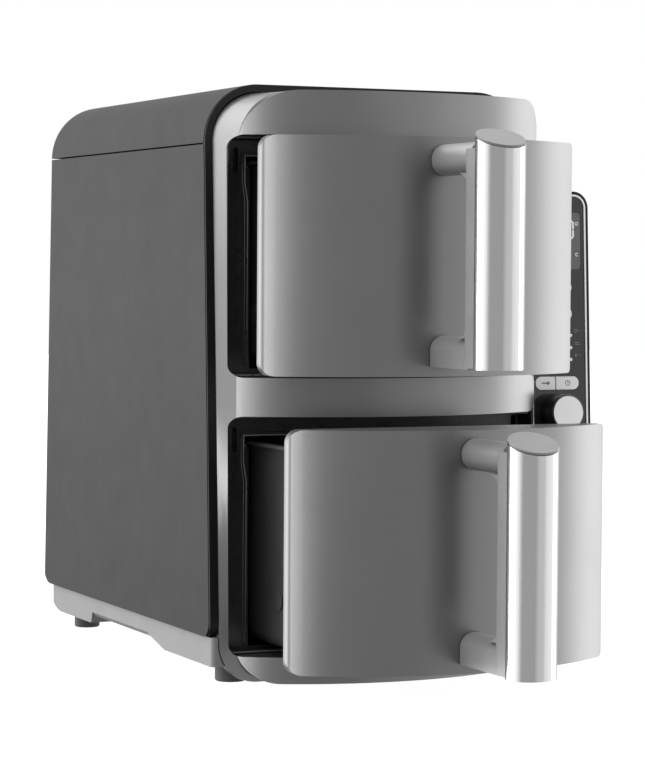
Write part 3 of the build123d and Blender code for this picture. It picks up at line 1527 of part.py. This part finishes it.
def build_cabinet():
    shell = cabinet_shell()
    make_top_cover(shell)
    make_outer_wrap(shell)
    make_rear_vent_panel()
    make_cabinet_screws()
    make_seam_band()
    make_front_fascia()
    make_front_frame()
    make_base_tray()
    make_rubber_feet()
    make_heat_shield()
    make_thermistors()
    make_drawer_sensors()


def build_bay(level, storey):
    """Fixed pieces and the fan of one cooking bay."""
    make_liner(level + "_liner", storey)
    make_rails(level + "_rails", storey)
    make_fan_guard(level + "_fan_guard", storey)
    make_heater(level + "_heater", storey)
    make_motor(level + "_fan_motor", storey)
    make_fan(level + "_fan", storey)


def build_drawer(level, out, storey):
    """One drawer, drawn closed and saved pulled out as it stands at rest."""
    make_drawer_front(level + "_drawer_front", out, storey)
    make_drawer_back(level + "_drawer_back", out, storey)
    make_handle_bracket(level + "_handle_bracket", out, storey)
    make_handle_sleeve(level + "_handle_sleeve", out, storey)
    make_handle_cap(level + "_handle_cap", out, storey)
    make_handle_screws(level + "_handle_screws", out, storey)
    make_pan(level + "_pan", out, storey)
    make_crisper_plate(level + "_crisper_plate", out, storey)
    make_plate_feet(level + "_plate_feet", out, storey)


def build_controls():
    make_pod_housing()
    make_pod_bezel()
    make_trim_ring()
    make_control_glass()
    make_display_window()
    make_indicator_lamps()
    for name in ROUND_BUTTONS:
        make_round_button(name)
    for name in PILL_EDGES:
        make_pill_button(name)
    make_dial_knob()
    make_dial_cap()
    make_dial_encoder()
    make_control_board()
    make_power_board()
    make_cord_inlet()


os.makedirs("parts", exist_ok=True)
build_cabinet()
build_bay("upper", STOREY)
build_bay("lower", 0.0)
build_drawer("upper", UPPER_OUT, STOREY)
build_drawer("lower", LOWER_OUT, 0.0)
build_controls()
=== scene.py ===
import json
import math

import bmesh
import bpy
from mathutils import Matrix, Vector


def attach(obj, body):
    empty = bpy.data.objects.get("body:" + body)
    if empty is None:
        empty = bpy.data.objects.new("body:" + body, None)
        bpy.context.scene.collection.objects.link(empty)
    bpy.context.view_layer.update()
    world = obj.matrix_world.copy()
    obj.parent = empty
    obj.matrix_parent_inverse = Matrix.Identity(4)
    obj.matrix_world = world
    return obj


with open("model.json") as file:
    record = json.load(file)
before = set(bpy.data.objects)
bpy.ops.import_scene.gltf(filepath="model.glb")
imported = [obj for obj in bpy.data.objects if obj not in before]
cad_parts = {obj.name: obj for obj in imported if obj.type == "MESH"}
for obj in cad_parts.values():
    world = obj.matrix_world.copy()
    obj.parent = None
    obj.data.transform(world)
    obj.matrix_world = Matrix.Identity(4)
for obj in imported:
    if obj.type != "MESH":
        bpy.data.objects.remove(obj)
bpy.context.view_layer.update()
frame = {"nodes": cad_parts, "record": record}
nodes = frame["nodes"]
scene = bpy.context.scene

WHITE = (1.0, 1.0, 1.0, 1.0)


# ---------------------------------------------------------------- node helpers
class Graph:
    """Node tree of one material or world, with short calls for the common nodes."""

    def __init__(self, tree):
        self.tree = tree
        self.tree.nodes.clear()

    def node(self, kind, **settings):
        made = self.tree.nodes.new(kind)
        for name, value in settings.items():
            setattr(made, name, value)
        return made

    def link(self, source, target):
        self.tree.links.new(source, target)

    def put(self, socket, value):
        """Sets a socket from a number, a colour or another node's output."""
        if isinstance(value, bpy.types.NodeSocket):
            self.link(value, socket)
        else:
            socket.default_value = value

    def position(self, stretch=(1.0, 1.0, 1.0)):
        """Object coordinates in metres, stretched per axis."""
        coords = self.node("ShaderNodeTexCoord")
        mapping = self.node("ShaderNodeMapping")
        mapping.inputs["Scale"].default_value = stretch
        self.link(coords.outputs["Object"], mapping.inputs["Vector"])
        return mapping.outputs["Vector"]

    def noise(self, vector, scale, detail, rough):
        made = self.node("ShaderNodeTexNoise")
        made.inputs["Scale"].default_value = scale
        made.inputs["Detail"].default_value = detail
        made.inputs["Roughness"].default_value = rough
        self.link(vector, made.inputs["Vector"])
        return made.outputs["Fac"]

    def ramp(self, value, *stops):
        """Straight colour ramp through (place, colour) stops."""
        made = self.node("ShaderNodeValToRGB")
        elements = made.color_ramp.elements
        while len(elements) < len(stops):
            elements.new(0.5)
        for element, (place, colour) in zip(elements, stops):
            element.position = place
            element.color = (*colour, 1.0)
        self.link(value, made.inputs["Fac"])
        return made.outputs["Color"]

    def remap(self, value, from_low, from_high, to_low=0.0, to_high=1.0):
        made = self.node("ShaderNodeMapRange")
        made.inputs["From Min"].default_value = from_low
        made.inputs["From Max"].default_value = from_high
        made.inputs["To Min"].default_value = to_low
        made.inputs["To Max"].default_value = to_high
        self.link(value, made.inputs["Value"])
        return made.outputs["Result"]

    def math(self, operation, first, second=0.0):
        made = self.node("ShaderNodeMath", operation=operation)
        self.put(made.inputs[0], first)
        self.put(made.inputs[1], second)
        return made.outputs[0]

    def mix(self, amount, first, second, blend="MIX"):
        made = self.node("ShaderNodeMix", data_type="RGBA", blend_type=blend)
        self.put(made.inputs["Factor"], amount)
        self.put(made.inputs[6], first)
        self.put(made.inputs[7], second)
        return made.outputs[2]

    def bump(self, height, strength, distance, normal):
        """Bump on top of another normal, or on the plain surface where that is None."""
        made = self.node("ShaderNodeBump")
        made.inputs["Strength"].default_value = strength
        made.inputs["Distance"].default_value = distance
        self.link(height, made.inputs["Height"])
        if normal is not None:
            self.link(normal, made.inputs["Normal"])
        return made.outputs["Normal"]


def grey(value):
    return (value, value, value)


# ---------------------------------------------------------------- materials
COAT_ROUGH = 0.08
GLOSS_PATCHES = 3.1  # patches of uneven gloss are this many times finer than the mottling
PAINTED_FLOOR_SHADE_HEIGHTS = (0.03, 0.24)  # metres: all of the painted shade towards the floor, and none of it


def material(name, base, rough, metal=0.0, mottle=0.06, mottle_scale=14.0, grain=0.0,
             grain_scale=900.0, grain_depth=0.00003, stretch=(1.0, 1.0, 1.0),
             rough_spread=0.05, fleck=0.0, fleck_scale=5200.0, coat=0.0,
             specular=0.5, edge=0.0, painted_floor_shade=1.0):
    """Procedural surface: slow mottling of colour, fine grain, flecks and uneven gloss.

    Scales are per metre. edge rounds the shading of sharp corners by that radius, and the
    last argument darkens the colour towards the floor by that factor, as painted shade.
    """
    made = bpy.data.materials.new(name)
    made.use_nodes = True
    g = Graph(made.node_tree)
    shader = g.node("ShaderNodeBsdfPrincipled")
    out = g.node("ShaderNodeOutputMaterial")
    g.link(shader.outputs["BSDF"], out.inputs["Surface"])
    where = g.position()
    grained = g.position(stretch)

    slow = g.noise(where, mottle_scale, detail=4.0, rough=0.55)
    dark = tuple(c * (1.0 - mottle) for c in base)
    light = tuple(min(1.0, c * (1.0 + mottle)) for c in base)
    colour = g.ramp(slow, (0.3, dark), (0.7, light))
    if fleck:
        spark = g.noise(grained, fleck_scale, detail=1.0, rough=0.5)
        shade = g.ramp(spark, (0.35, grey(1.0 - fleck)), (0.65, grey(1.0 + fleck)))
        colour = g.mix(1.0, colour, shade, "MULTIPLY")
    # Painted shade: the colour is darkened towards the floor, standing in for the dimmer light
    # low down.
    if painted_floor_shade < 1.0:
        axes = g.node("ShaderNodeSeparateXYZ")
        g.link(where, axes.inputs[0])
        height = g.remap(axes.outputs["Z"], *PAINTED_FLOOR_SHADE_HEIGHTS)
        shade = g.ramp(height, (0.0, grey(painted_floor_shade)), (1.0, grey(1.0)))
        colour = g.mix(1.0, colour, shade, "MULTIPLY")
    g.link(colour, shader.inputs["Base Color"])

    fine = g.noise(grained, grain_scale, detail=2.0, rough=0.6)
    uneven = g.noise(where, mottle_scale * GLOSS_PATCHES, detail=3.0, rough=0.6)
    half = rough_spread * 0.5
    gloss = g.math("ADD", g.remap(uneven, 0.3, 0.7, -rough_spread, rough_spread),
                   g.remap(fine, 0.2, 0.8, rough - half, rough + half))
    g.link(gloss, shader.inputs["Roughness"])

    softened = None
    if edge:
        rounding = g.node("ShaderNodeBevel", samples=4)
        rounding.inputs["Radius"].default_value = edge
        softened = rounding.outputs["Normal"]
        g.link(softened, shader.inputs["Normal"])
    if grain:
        g.link(g.bump(fine, grain, grain_depth, softened), shader.inputs["Normal"])
    shader.inputs["Metallic"].default_value = metal
    shader.inputs["Specular IOR Level"].default_value = specular
    shader.inputs["Coat Weight"].default_value = coat
    shader.inputs["Coat Roughness"].default_value = COAT_ROUGH
    return made


finishes = {
    # The cabinet coat carries painted shade: its colour darkens towards the floor.
    "cabinet_grey": material("satin_cabinet_coat", grey(0.045), 0.55, specular=0.12, mottle=0.05,
                             grain=0.25, grain_scale=1400.0, rough_spread=0.03, fleck=0.04,
                             painted_floor_shade=0.66),
    "band_black": material("black_band_plastic", grey(0.006), 0.42, grain=0.3, specular=0.3,
                           grain_scale=1600.0),
    "front_silver": material("pearl_silver_front", grey(0.24), 0.30, metal=0.92, mottle=0.02,
                             grain=0.05, grain_scale=1500.0, grain_depth=0.00001,
                             rough_spread=0.01, fleck=0.02),
    "base_silver": material("base_silver_plastic", grey(0.22), 0.5, specular=0.3, mottle=0.03,
                            grain=0.2, grain_scale=1800.0, fleck=0.05),
    "frame_black": material("moulded_frame_black", grey(0.029), 0.3, edge=0.0007, grain=0.3,
                            grain_scale=1300.0, specular=0.6),
    "inner_grey": material("inner_backing_grey", grey(0.04), 0.5, grain=0.3),
    "foot_rubber": material("moulded_foot_rubber", grey(0.08), 0.75, grain=0.6,
                            grain_scale=900.0, mottle=0.12),
    "liner_sheet": material("dark_liner_sheet", grey(0.024), 0.4, metal=0.5, grain=0.15),
    "bare_steel": material("bare_screw_steel", grey(0.42), 0.3, metal=1.0, grain=0.2),
    "coil_steel": material("heater_coil_steel", (0.15, 0.13, 0.115), 0.42, metal=1.0, mottle=0.3,
                           mottle_scale=60.0),
    "fan_aluminium": material("pressed_fan_aluminium", grey(0.5), 0.34, metal=1.0,
                              stretch=(1.0, 1.0, 0.2), grain=0.2),
    "pan_coating": material("nonstick_pan_coating", grey(0.024), 0.42, mottle=0.12, grain=0.3,
                            grain_scale=700.0, fleck=0.3, fleck_scale=2600.0),
    "handle_grey": material("handle_grey_satin", grey(0.235), 0.40, metal=0.45, mottle=0.03,
                            grain=0.2, grain_scale=2000.0, fleck=0.04),
    "handle_chrome": material("polished_sleeve", grey(0.65), 0.09, metal=1.0, mottle=0.015,
                              rough_spread=0.02, grain=0.05, grain_scale=1600.0,
                              grain_depth=0.000005, stretch=(1.0, 1.0, 0.02)),
    "cap_grey": material("matte_cap_grey", grey(0.20), 0.5, metal=0.2, mottle=0.03,
                         grain=0.35, grain_scale=2200.0),
    "trim_silver": material("bright_trim", grey(0.9), 0.25, metal=0.5, mottle=0.02),
    "glass_dark": material("dark_panel_glass", grey(0.016), 0.12, mottle=0.02, rough_spread=0.02,
                           coat=0.6),
    "display_grey": material("display_lens", grey(0.13), 0.16, mottle=0.03, rough_spread=0.02,
                             coat=0.4),
    "lamp_white": material("lamp_lens", grey(0.9), 0.3, mottle=0.02),
    "button_white": material("button_plastic", grey(0.88), 0.36, mottle=0.02, grain=0.15,
                             grain_scale=2400.0),
    "dial_black": material("dial_black_satin", grey(0.009), 0.35, grain=0.3, grain_scale=1500.0),
    "dial_bright": material("dial_cap_brushed", grey(0.93), 0.34, metal=0.3, mottle=0.03,
                            grain=0.25, grain_scale=1800.0, stretch=(0.06, 1.0, 1.0)),
    "silicone": material("silicone_foot", grey(0.015), 0.6, grain=0.3),
    "mark_grey": material("pill_mark_grey", grey(0.16), 0.5, mottle=0.05, grain=0.1),
    "board_green": material("circuit_board", (0.015, 0.08, 0.032), 0.4, mottle=0.25,
                            mottle_scale=220.0),
    # Painted highlight: light grey for the beads of the black frame, standing in for the
    # highlight lines along them.
    "bead_painted_highlight": material("bead_painted_highlight_grey", grey(0.42), 0.3, metal=0.6, mottle=0.05,
                           grain=0.1),
}


def dress_nodes():
    """Gives every CAD node its slot's finish; the sleeves stay out of reflections."""
    slots = {part["node"]: part["material_slot"] for part in frame["record"]["subparts"]}
    for name, obj in nodes.items():
        obj.data.materials.clear()
        obj.data.materials.append(finishes[slots[name]])
    for storey in ("upper", "lower"):
        nodes[storey + "_handle_sleeve"].visible_glossy = False


# ---------------------------------------------------------------- printed marks, and beads in painted highlight grey
# Lengths in this section are in mm, with heights from the floor and y from the design's
# own origin.
MM = 1000.0  # in a metre
FRONT_Y = -0.0589  # the design's origin in the frame, in metres
STOREY = 178.2  # from the lower drawer opening up to the same point of the upper one
FACE_LEAN = math.atan(0.0488)
FACE_MID = (13.1, 174.0)  # y and height of the middle of the control face
DISPLAY_OUT, SIGN_OUT, BUTTON_OUT = -0.48, -0.42, 0.36  # marks' surfaces, proud of the face
INLAY_THICK = 0.12
DISC_STEPS = 20
BEAD_SIDES = 10


def on_face(x, z, out):
    """Point on the leaning control face, from x, height and distance proud of it."""
    y = FACE_MID[0] + (z - FACE_MID[1]) * math.tan(FACE_LEAN) - out * math.cos(FACE_LEAN)
    return Vector((x / MM, y / MM + FRONT_Y, (z + out * math.sin(FACE_LEAN)) / MM))


def finish_piece(name, bm, slot, body):
    """Turns a bmesh into a piece that rides on a body and takes a slot's finish.

    A "mark" is printed in its own grey.
    """
    bmesh.ops.recalc_face_normals(bm, faces=bm.faces)
    mesh = bpy.data.meshes.new(name)
    bm.to_mesh(mesh)
    bm.free()
    piece = bpy.data.objects.new(name, mesh)
    scene.collection.objects.link(piece)
    mesh.materials.append(finishes["mark_grey" if slot == "mark" else slot])
    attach(piece, body)
    return piece


def inlay(name, outlines, out, slot, body):
    """Thin printed shapes on the control face, one per outline."""
    bm = bmesh.new()
    for outline in outlines:
        top = [bm.verts.new(on_face(x, z, out)) for x, z in outline]
        low = [bm.verts.new(on_face(x, z, out - INLAY_THICK)) for x, z in outline]
        bm.faces.new(top)
        bm.faces.new(low[::-1])
        for i in range(len(outline)):
            k = (i + 1) % len(outline)
            bm.faces.new((top[i], low[i], low[k], top[k]))
    finish_piece(name, bm, slot, body)


def bar(x0, z0, x1, z1, wide):
    """Bar between two points, with pointed ends like a display segment."""
    along = Vector((x1 - x0, z1 - z0)).normalized()
    side = Vector((-along.y, along.x)) * wide / 2
    tip = along * wide / 2
    a, b = Vector((x0, z0)), Vector((x1, z1))
    corners = (a, a + tip + side, b - tip + side, b, b - tip - side, a + tip - side)
    return [tuple(corner) for corner in corners]


def arc_band(x, z, radius, wide, start=0, end=360, steps=14):
    """Ring or part of one about a point, angles in degrees, as one outline per step."""
    pieces = []
    for i in range(steps):
        a0 = math.radians(start + (end - start) * i / steps)
        a1 = math.radians(start + (end - start) * (i + 1) / steps)
        inner, outer = radius - wide / 2, radius + wide / 2
        pieces.append([(x + r * math.cos(a), z + r * math.sin(a))
                       for r, a in ((inner, a0), (outer, a0), (outer, a1), (inner, a1))])
    return pieces


def disc(x, z, radius):
    angles = [math.tau * i / DISC_STEPS for i in range(DISC_STEPS)]
    return [(x + radius * math.cos(a), z + radius * math.sin(a)) for a in angles]


def digit(figure, x, z, wide, tall, stroke):
    """Seven-segment figure with its lower left corner at (x, z)."""
    half = tall / 2
    ends = {
        "a": (x, z + tall, x + wide, z + tall), "g": (x, z + half, x + wide, z + half),
        "d": (x, z, x + wide, z), "f": (x, z + half, x, z + tall), "e": (x, z, x, z + half),
        "b": (x + wide, z + half, x + wide, z + tall), "c": (x + wide, z, x + wide, z + half),
    }
    lit = {"0": "abcdef", "2": "abged", "5": "afgcd"}
    return [bar(*ends[name], stroke) for name in lit[figure]]


def make_display_figures():
    """Temperature above and minutes below, in plain figures, each with a small ring sign."""
    sign_x, sign_radius, sign_wide = 131.4, 1.0, 0.5
    rows = (
        # figures, x, height, pitch, width, tallness, stroke; the sign's height and angles
        ("200", 103.3, 285.8, 9.6, 6.2, 11.2, 1.5, 295.4, 0, 360),
        ("25", 108.0, 269.6, 7.2, 4.4, 7.6, 1.1, 274.6, 40, 320),
    )
    shapes = []
    for figures, x, z, pitch, wide, tall, stroke, sign_z, start, end in rows:
        for i, figure in enumerate(figures):
            shapes += digit(figure, x + pitch * i, z, wide, tall, stroke)
        shapes += arc_band(sign_x, sign_z, sign_radius, sign_wide, start, end)
    inlay("display_figures", shapes, DISPLAY_OUT, "lamp_white", "cabinet")


def make_lamp_signs():
    """Small signs by the lamps in both columns: ring, waves and drop."""
    ring_z, wave_z, second_wave_z = 223.4, 215.4, 214.2
    drop_z, drop_side_z, drop_top_z, drop_bar_z = 206.7, 207.0, 208.6, 207.2
    shapes = []
    for x in (129.6, 106.8):
        shapes += arc_band(x, ring_z, 1.0, 0.45)
        shapes += [
            disc(x + 2.6, ring_z, 0.45),
            bar(x - 1.4, wave_z, x + 2.8, wave_z, 0.5),
            bar(x - 0.6, second_wave_z, x + 3.6, second_wave_z, 0.5),
            disc(x, drop_z, 0.9),
            [(x - 0.85, drop_side_z), (x, drop_top_z), (x + 0.85, drop_side_z)],
            bar(x + 2.0, drop_bar_z, x + 4.2, drop_bar_z, 0.5),
        ]
    inlay("lamp_signs", shapes, SIGN_OUT, "cap_grey", "cabinet")


def make_button_signs():
    """Thermometer, clock, power and start signs, and one or two bars for the zones."""
    pill_z, clock_x, power_x = 188.3, 122.6, 106.0
    signs = {
        "temp": [bar(102.6, pill_z, 107.2, pill_z, 0.9), disc(107.6, pill_z, 1.15)],
        "time": arc_band(clock_x, pill_z, 1.75, 0.45, steps=20)
        + [bar(clock_x, 188.1, clock_x, 189.6, 0.4), bar(122.5, pill_z, 123.7, pill_z, 0.4)],
        "power": arc_band(power_x, 131.8, 2.4, 0.6, 125, 415, steps=24)
        + [bar(power_x, 131.9, power_x, 134.9, 0.6)],
        "start": [[(124.6, 129.6), (124.6, 134.4), (128.8, 132.0)]],
        "zone_one": [bar(122.3, 250.6, 122.3, 254.4, 0.7)],
        "zone_two": [bar(x, 232.8, x, 236.6, 0.7) for x in (121.4, 123.2)],
    }
    for button, outlines in signs.items():
        inlay(button + "_sign", outlines, BUTTON_OUT, "mark", button + "_button")


def make_bead(name, path, y, radius):
    """Rounded moulding line along (x, height) points at one depth, in painted-highlight grey."""
    bm = bmesh.new()
    points = [Vector(point) for point in path]
    rings = []
    for i, point in enumerate(points):
        before = (point - points[i - 1]).normalized() if i else (points[1] - point).normalized()
        after = (points[i + 1] - point).normalized() if i < len(points) - 1 else before
        side = Vector((-(before.y + after.y), before.x + after.x)).normalized()
        side /= max(0.5, side.dot(Vector((-before.y, before.x))))
        ring = []
        for k in range(BEAD_SIDES):
            turn = math.tau * k / BEAD_SIDES
            across = side * radius * math.cos(turn)
            ring.append(bm.verts.new(((point.x + across.x) / MM,
                                      (y - radius * math.sin(turn)) / MM + FRONT_Y,
                                      (point.y + across.y) / MM)))
        rings.append(ring)
    for first, second in zip(rings, rings[1:]):
        for k in range(BEAD_SIDES):
            n = (k + 1) % BEAD_SIDES
            bm.faces.new((first[k], first[n], second[n], second[k]))
    bm.faces.new(rings[0][::-1])
    bm.faces.new(rings[-1])
    for face in bm.faces:
        face.smooth = True
    # The bead piece takes the frame's slot, but its colour is the light painted-highlight grey.
    finish_piece(name, bm, "frame_black", "cabinet").data.materials[0] = finishes["bead_painted_highlight"]


def collar_path(low, high):
    """Rim of an opening's collar: in along the top, down the left side and out again."""
    left, corner, inset, right = -129.4, 7.9, 1.0, 70.0
    turns = 8
    rim = [(right, high - inset)]
    for corner_z, start in ((high - corner, 90), (low + corner, 180)):
        for step in range(turns + 1):
            angle = math.radians(start + 90 / turns * step)
            rim.append((left + corner + (corner - inset) * math.cos(angle),
                        corner_z + (corner - inset) * math.sin(angle)))
    rim.append((right, low + inset))
    return rim


def make_front_beads():
    """Moulding lines down the left of each opening and each collar's rim, as painted highlights.
    """
    opening_path = ((-109.3, 26.0), (-109.3, 128.1), (-111.3, 140.1), (-111.3, 157.3),
                    (79.0, 157.3))
    outer_path = ((-111.3, 30.0), (-111.3, 128.4), (-113.0, 140.4), (-113.0, 156.0))
    for storey, up in (("lower", 0.0), ("upper", STOREY)):
        for kind, path, y, radius in (("opening", opening_path, 18.0, 0.45),
                                      ("outer", outer_path, 18.05, 0.25)):
            make_bead(f"{storey}_{kind}_bead", [(x, z + up) for x, z in path], y, radius)
    gap = 0.1  # between the collar and the fascia opening
    for storey, low, high in (("lower", 18.8, 170.8), ("upper", 195.2, 347.8)):
        make_bead(storey + "_collar_rim", collar_path(low + gap, high - gap), 6.05, 0.5)


# ---------------------------------------------------------------- studio
def make_world():
    """Studio surroundings as brightness by compass direction, white to the camera itself."""
    # Degrees round from straight ahead of the front, positive towards +X; brightness.
    wall = (
        (-180, 0.40), (-163, 0.42), (-151, 2.3), (-101, 2.3), (-93, 1.2), (-82, 1.0),
        (-70, 0.85), (-60, 0.55), (-50, 0.34), (2, 0.33), (15, 0.50), (34, 0.53),
        (44, 0.74), (58, 0.82), (74, 0.9), (82, 2.3), (100, 2.3), (112, 0.65),
        (150, 0.5), (180, 0.5),
    )
    ceiling, ground = 1.9, 0.05
    full = 3.0  # wall and ceiling are held as shares of this, since ramp colours end at 1
    strength = 4.3
    world = bpy.data.worlds.new("studio")
    scene.world = world
    world.use_nodes = True
    g = Graph(world.node_tree)
    coords = g.node("ShaderNodeTexCoord")
    axes = g.node("ShaderNodeSeparateXYZ")
    g.link(coords.outputs["Generated"], axes.inputs[0])
    ahead = g.math("MULTIPLY", axes.outputs["Y"], -1.0)
    around = g.math("ARCTAN2", axes.outputs["X"], ahead)
    turn = g.remap(around, -math.pi, math.pi)
    sides = g.ramp(turn, *(((a + 180.0) / 360.0, grey(b / full)) for a, b in wall))
    lift = g.math("ARCSINE", axes.outputs["Z"])
    above = g.remap(lift, math.radians(38), math.radians(62))
    below = g.remap(lift, math.radians(-10), math.radians(-50))
    whole = g.mix(above, sides, (*grey(ceiling / full), 1.0))
    whole = g.mix(below, whole, (*grey(ground), 1.0))
    studio = g.node("ShaderNodeBackground")
    g.link(whole, studio.inputs["Color"])
    studio.inputs["Strength"].default_value = strength
    plain = g.node("ShaderNodeBackground")
    plain.inputs["Color"].default_value = WHITE
    plain.inputs["Strength"].default_value = 1.0
    seen = g.node("ShaderNodeLightPath")
    choose = g.node("ShaderNodeMixShader")
    g.link(seen.outputs["Is Camera Ray"], choose.inputs["Fac"])
    g.link(studio.outputs[0], choose.inputs[1])
    g.link(plain.outputs[0], choose.inputs[2])
    out = g.node("ShaderNodeOutputWorld")
    g.link(choose.outputs[0], out.inputs["Surface"])


def make_floor():
    """White studio floor, which neither lights the fryer nor shows in its reflections."""
    cells, half_side, glow = 24, 6.0, 0.97
    bm = bmesh.new()
    bmesh.ops.create_grid(bm, x_segments=cells, y_segments=cells, size=half_side)
    mesh = bpy.data.meshes.new("studio_floor")
    bm.to_mesh(mesh)
    bm.free()
    floor = bpy.data.objects.new("studio_floor", mesh)
    scene.collection.objects.link(floor)
    sweep = material("floor_sweep", grey(0.25), 0.7, mottle=0.01, mottle_scale=1.2, specular=0.1)
    shader = next(n for n in sweep.node_tree.nodes if n.type == "BSDF_PRINCIPLED")
    shader.inputs["Emission Color"].default_value = WHITE
    shader.inputs["Emission Strength"].default_value = glow
    mesh.materials.append(sweep)
    floor.visible_glossy = False
    floor.visible_diffuse = False


def soft_panel(name, azimuth, away, wide, tall, power, lit, shadow=True):
    """Upright soft panel aimed at the fryer, which lights only the named nodes."""
    aim = Vector((-0.02, 0.0, 0.2))
    group = bpy.data.collections.new(name + "_lit")
    for piece in lit:
        group.objects.link(nodes[piece])
    light = bpy.data.lights.new(name, "AREA")
    light.shape = "RECTANGLE"
    light.size = wide
    light.size_y = tall
    light.energy = power
    light.use_shadow = shadow
    lamp = bpy.data.objects.new(name, light)
    scene.collection.objects.link(lamp)
    turn = math.radians(azimuth)
    lamp.location = aim + Vector((math.sin(turn), -math.cos(turn), 0.0)) * away
    lamp.rotation_euler = (math.radians(90.0), 0.0, turn)
    lamp.light_linking.receiver_collection = group


def make_panels():
    soft_panel("left_strip", azimuth=-49.5, away=1.6, wide=0.24, tall=2.4, power=9.5,
               lit=("front_fascia", "upper_drawer_front", "lower_drawer_front"))
    soft_panel("bracket_fill", azimuth=-158.0, away=1.0, wide=1.0, tall=2.4, power=12.0,
               lit=("upper_handle_bracket", "lower_handle_bracket"), shadow=False)


def make_camera():
    """Long lens from the front left, a little above the middle of the fryer."""
    place = (-0.7675, -1.6187, 0.2652)
    yaw, pitch, roll = 0.4235, 0.0448, 0.0064
    data = bpy.data.cameras.new("camera")
    data.lens = 124.6
    data.sensor_width = 36.0
    data.clip_start = 0.05
    data.clip_end = 50.0
    camera = bpy.data.objects.new("camera", data)
    scene.collection.objects.link(camera)
    ahead = Vector((math.sin(yaw) * math.cos(pitch), math.cos(yaw) * math.cos(pitch),
                    -math.sin(pitch)))
    right = Vector((math.cos(yaw), -math.sin(yaw), 0.0))
    upward = right.cross(ahead)
    tilted_right = math.cos(roll) * right + math.sin(roll) * upward
    tilted_up = math.cos(roll) * upward - math.sin(roll) * right
    turn = Matrix((tilted_right, tilted_up, -ahead)).transposed().to_4x4()
    camera.matrix_world = Matrix.Translation(place) @ turn
    scene.camera = camera


dress_nodes()
make_front_beads()
make_display_figures()
make_lamp_signs()
make_button_signs()
make_world()
make_floor()
make_panels()
make_camera()
scene.view_settings.view_transform = "Standard"
scene.view_settings.look = "None"
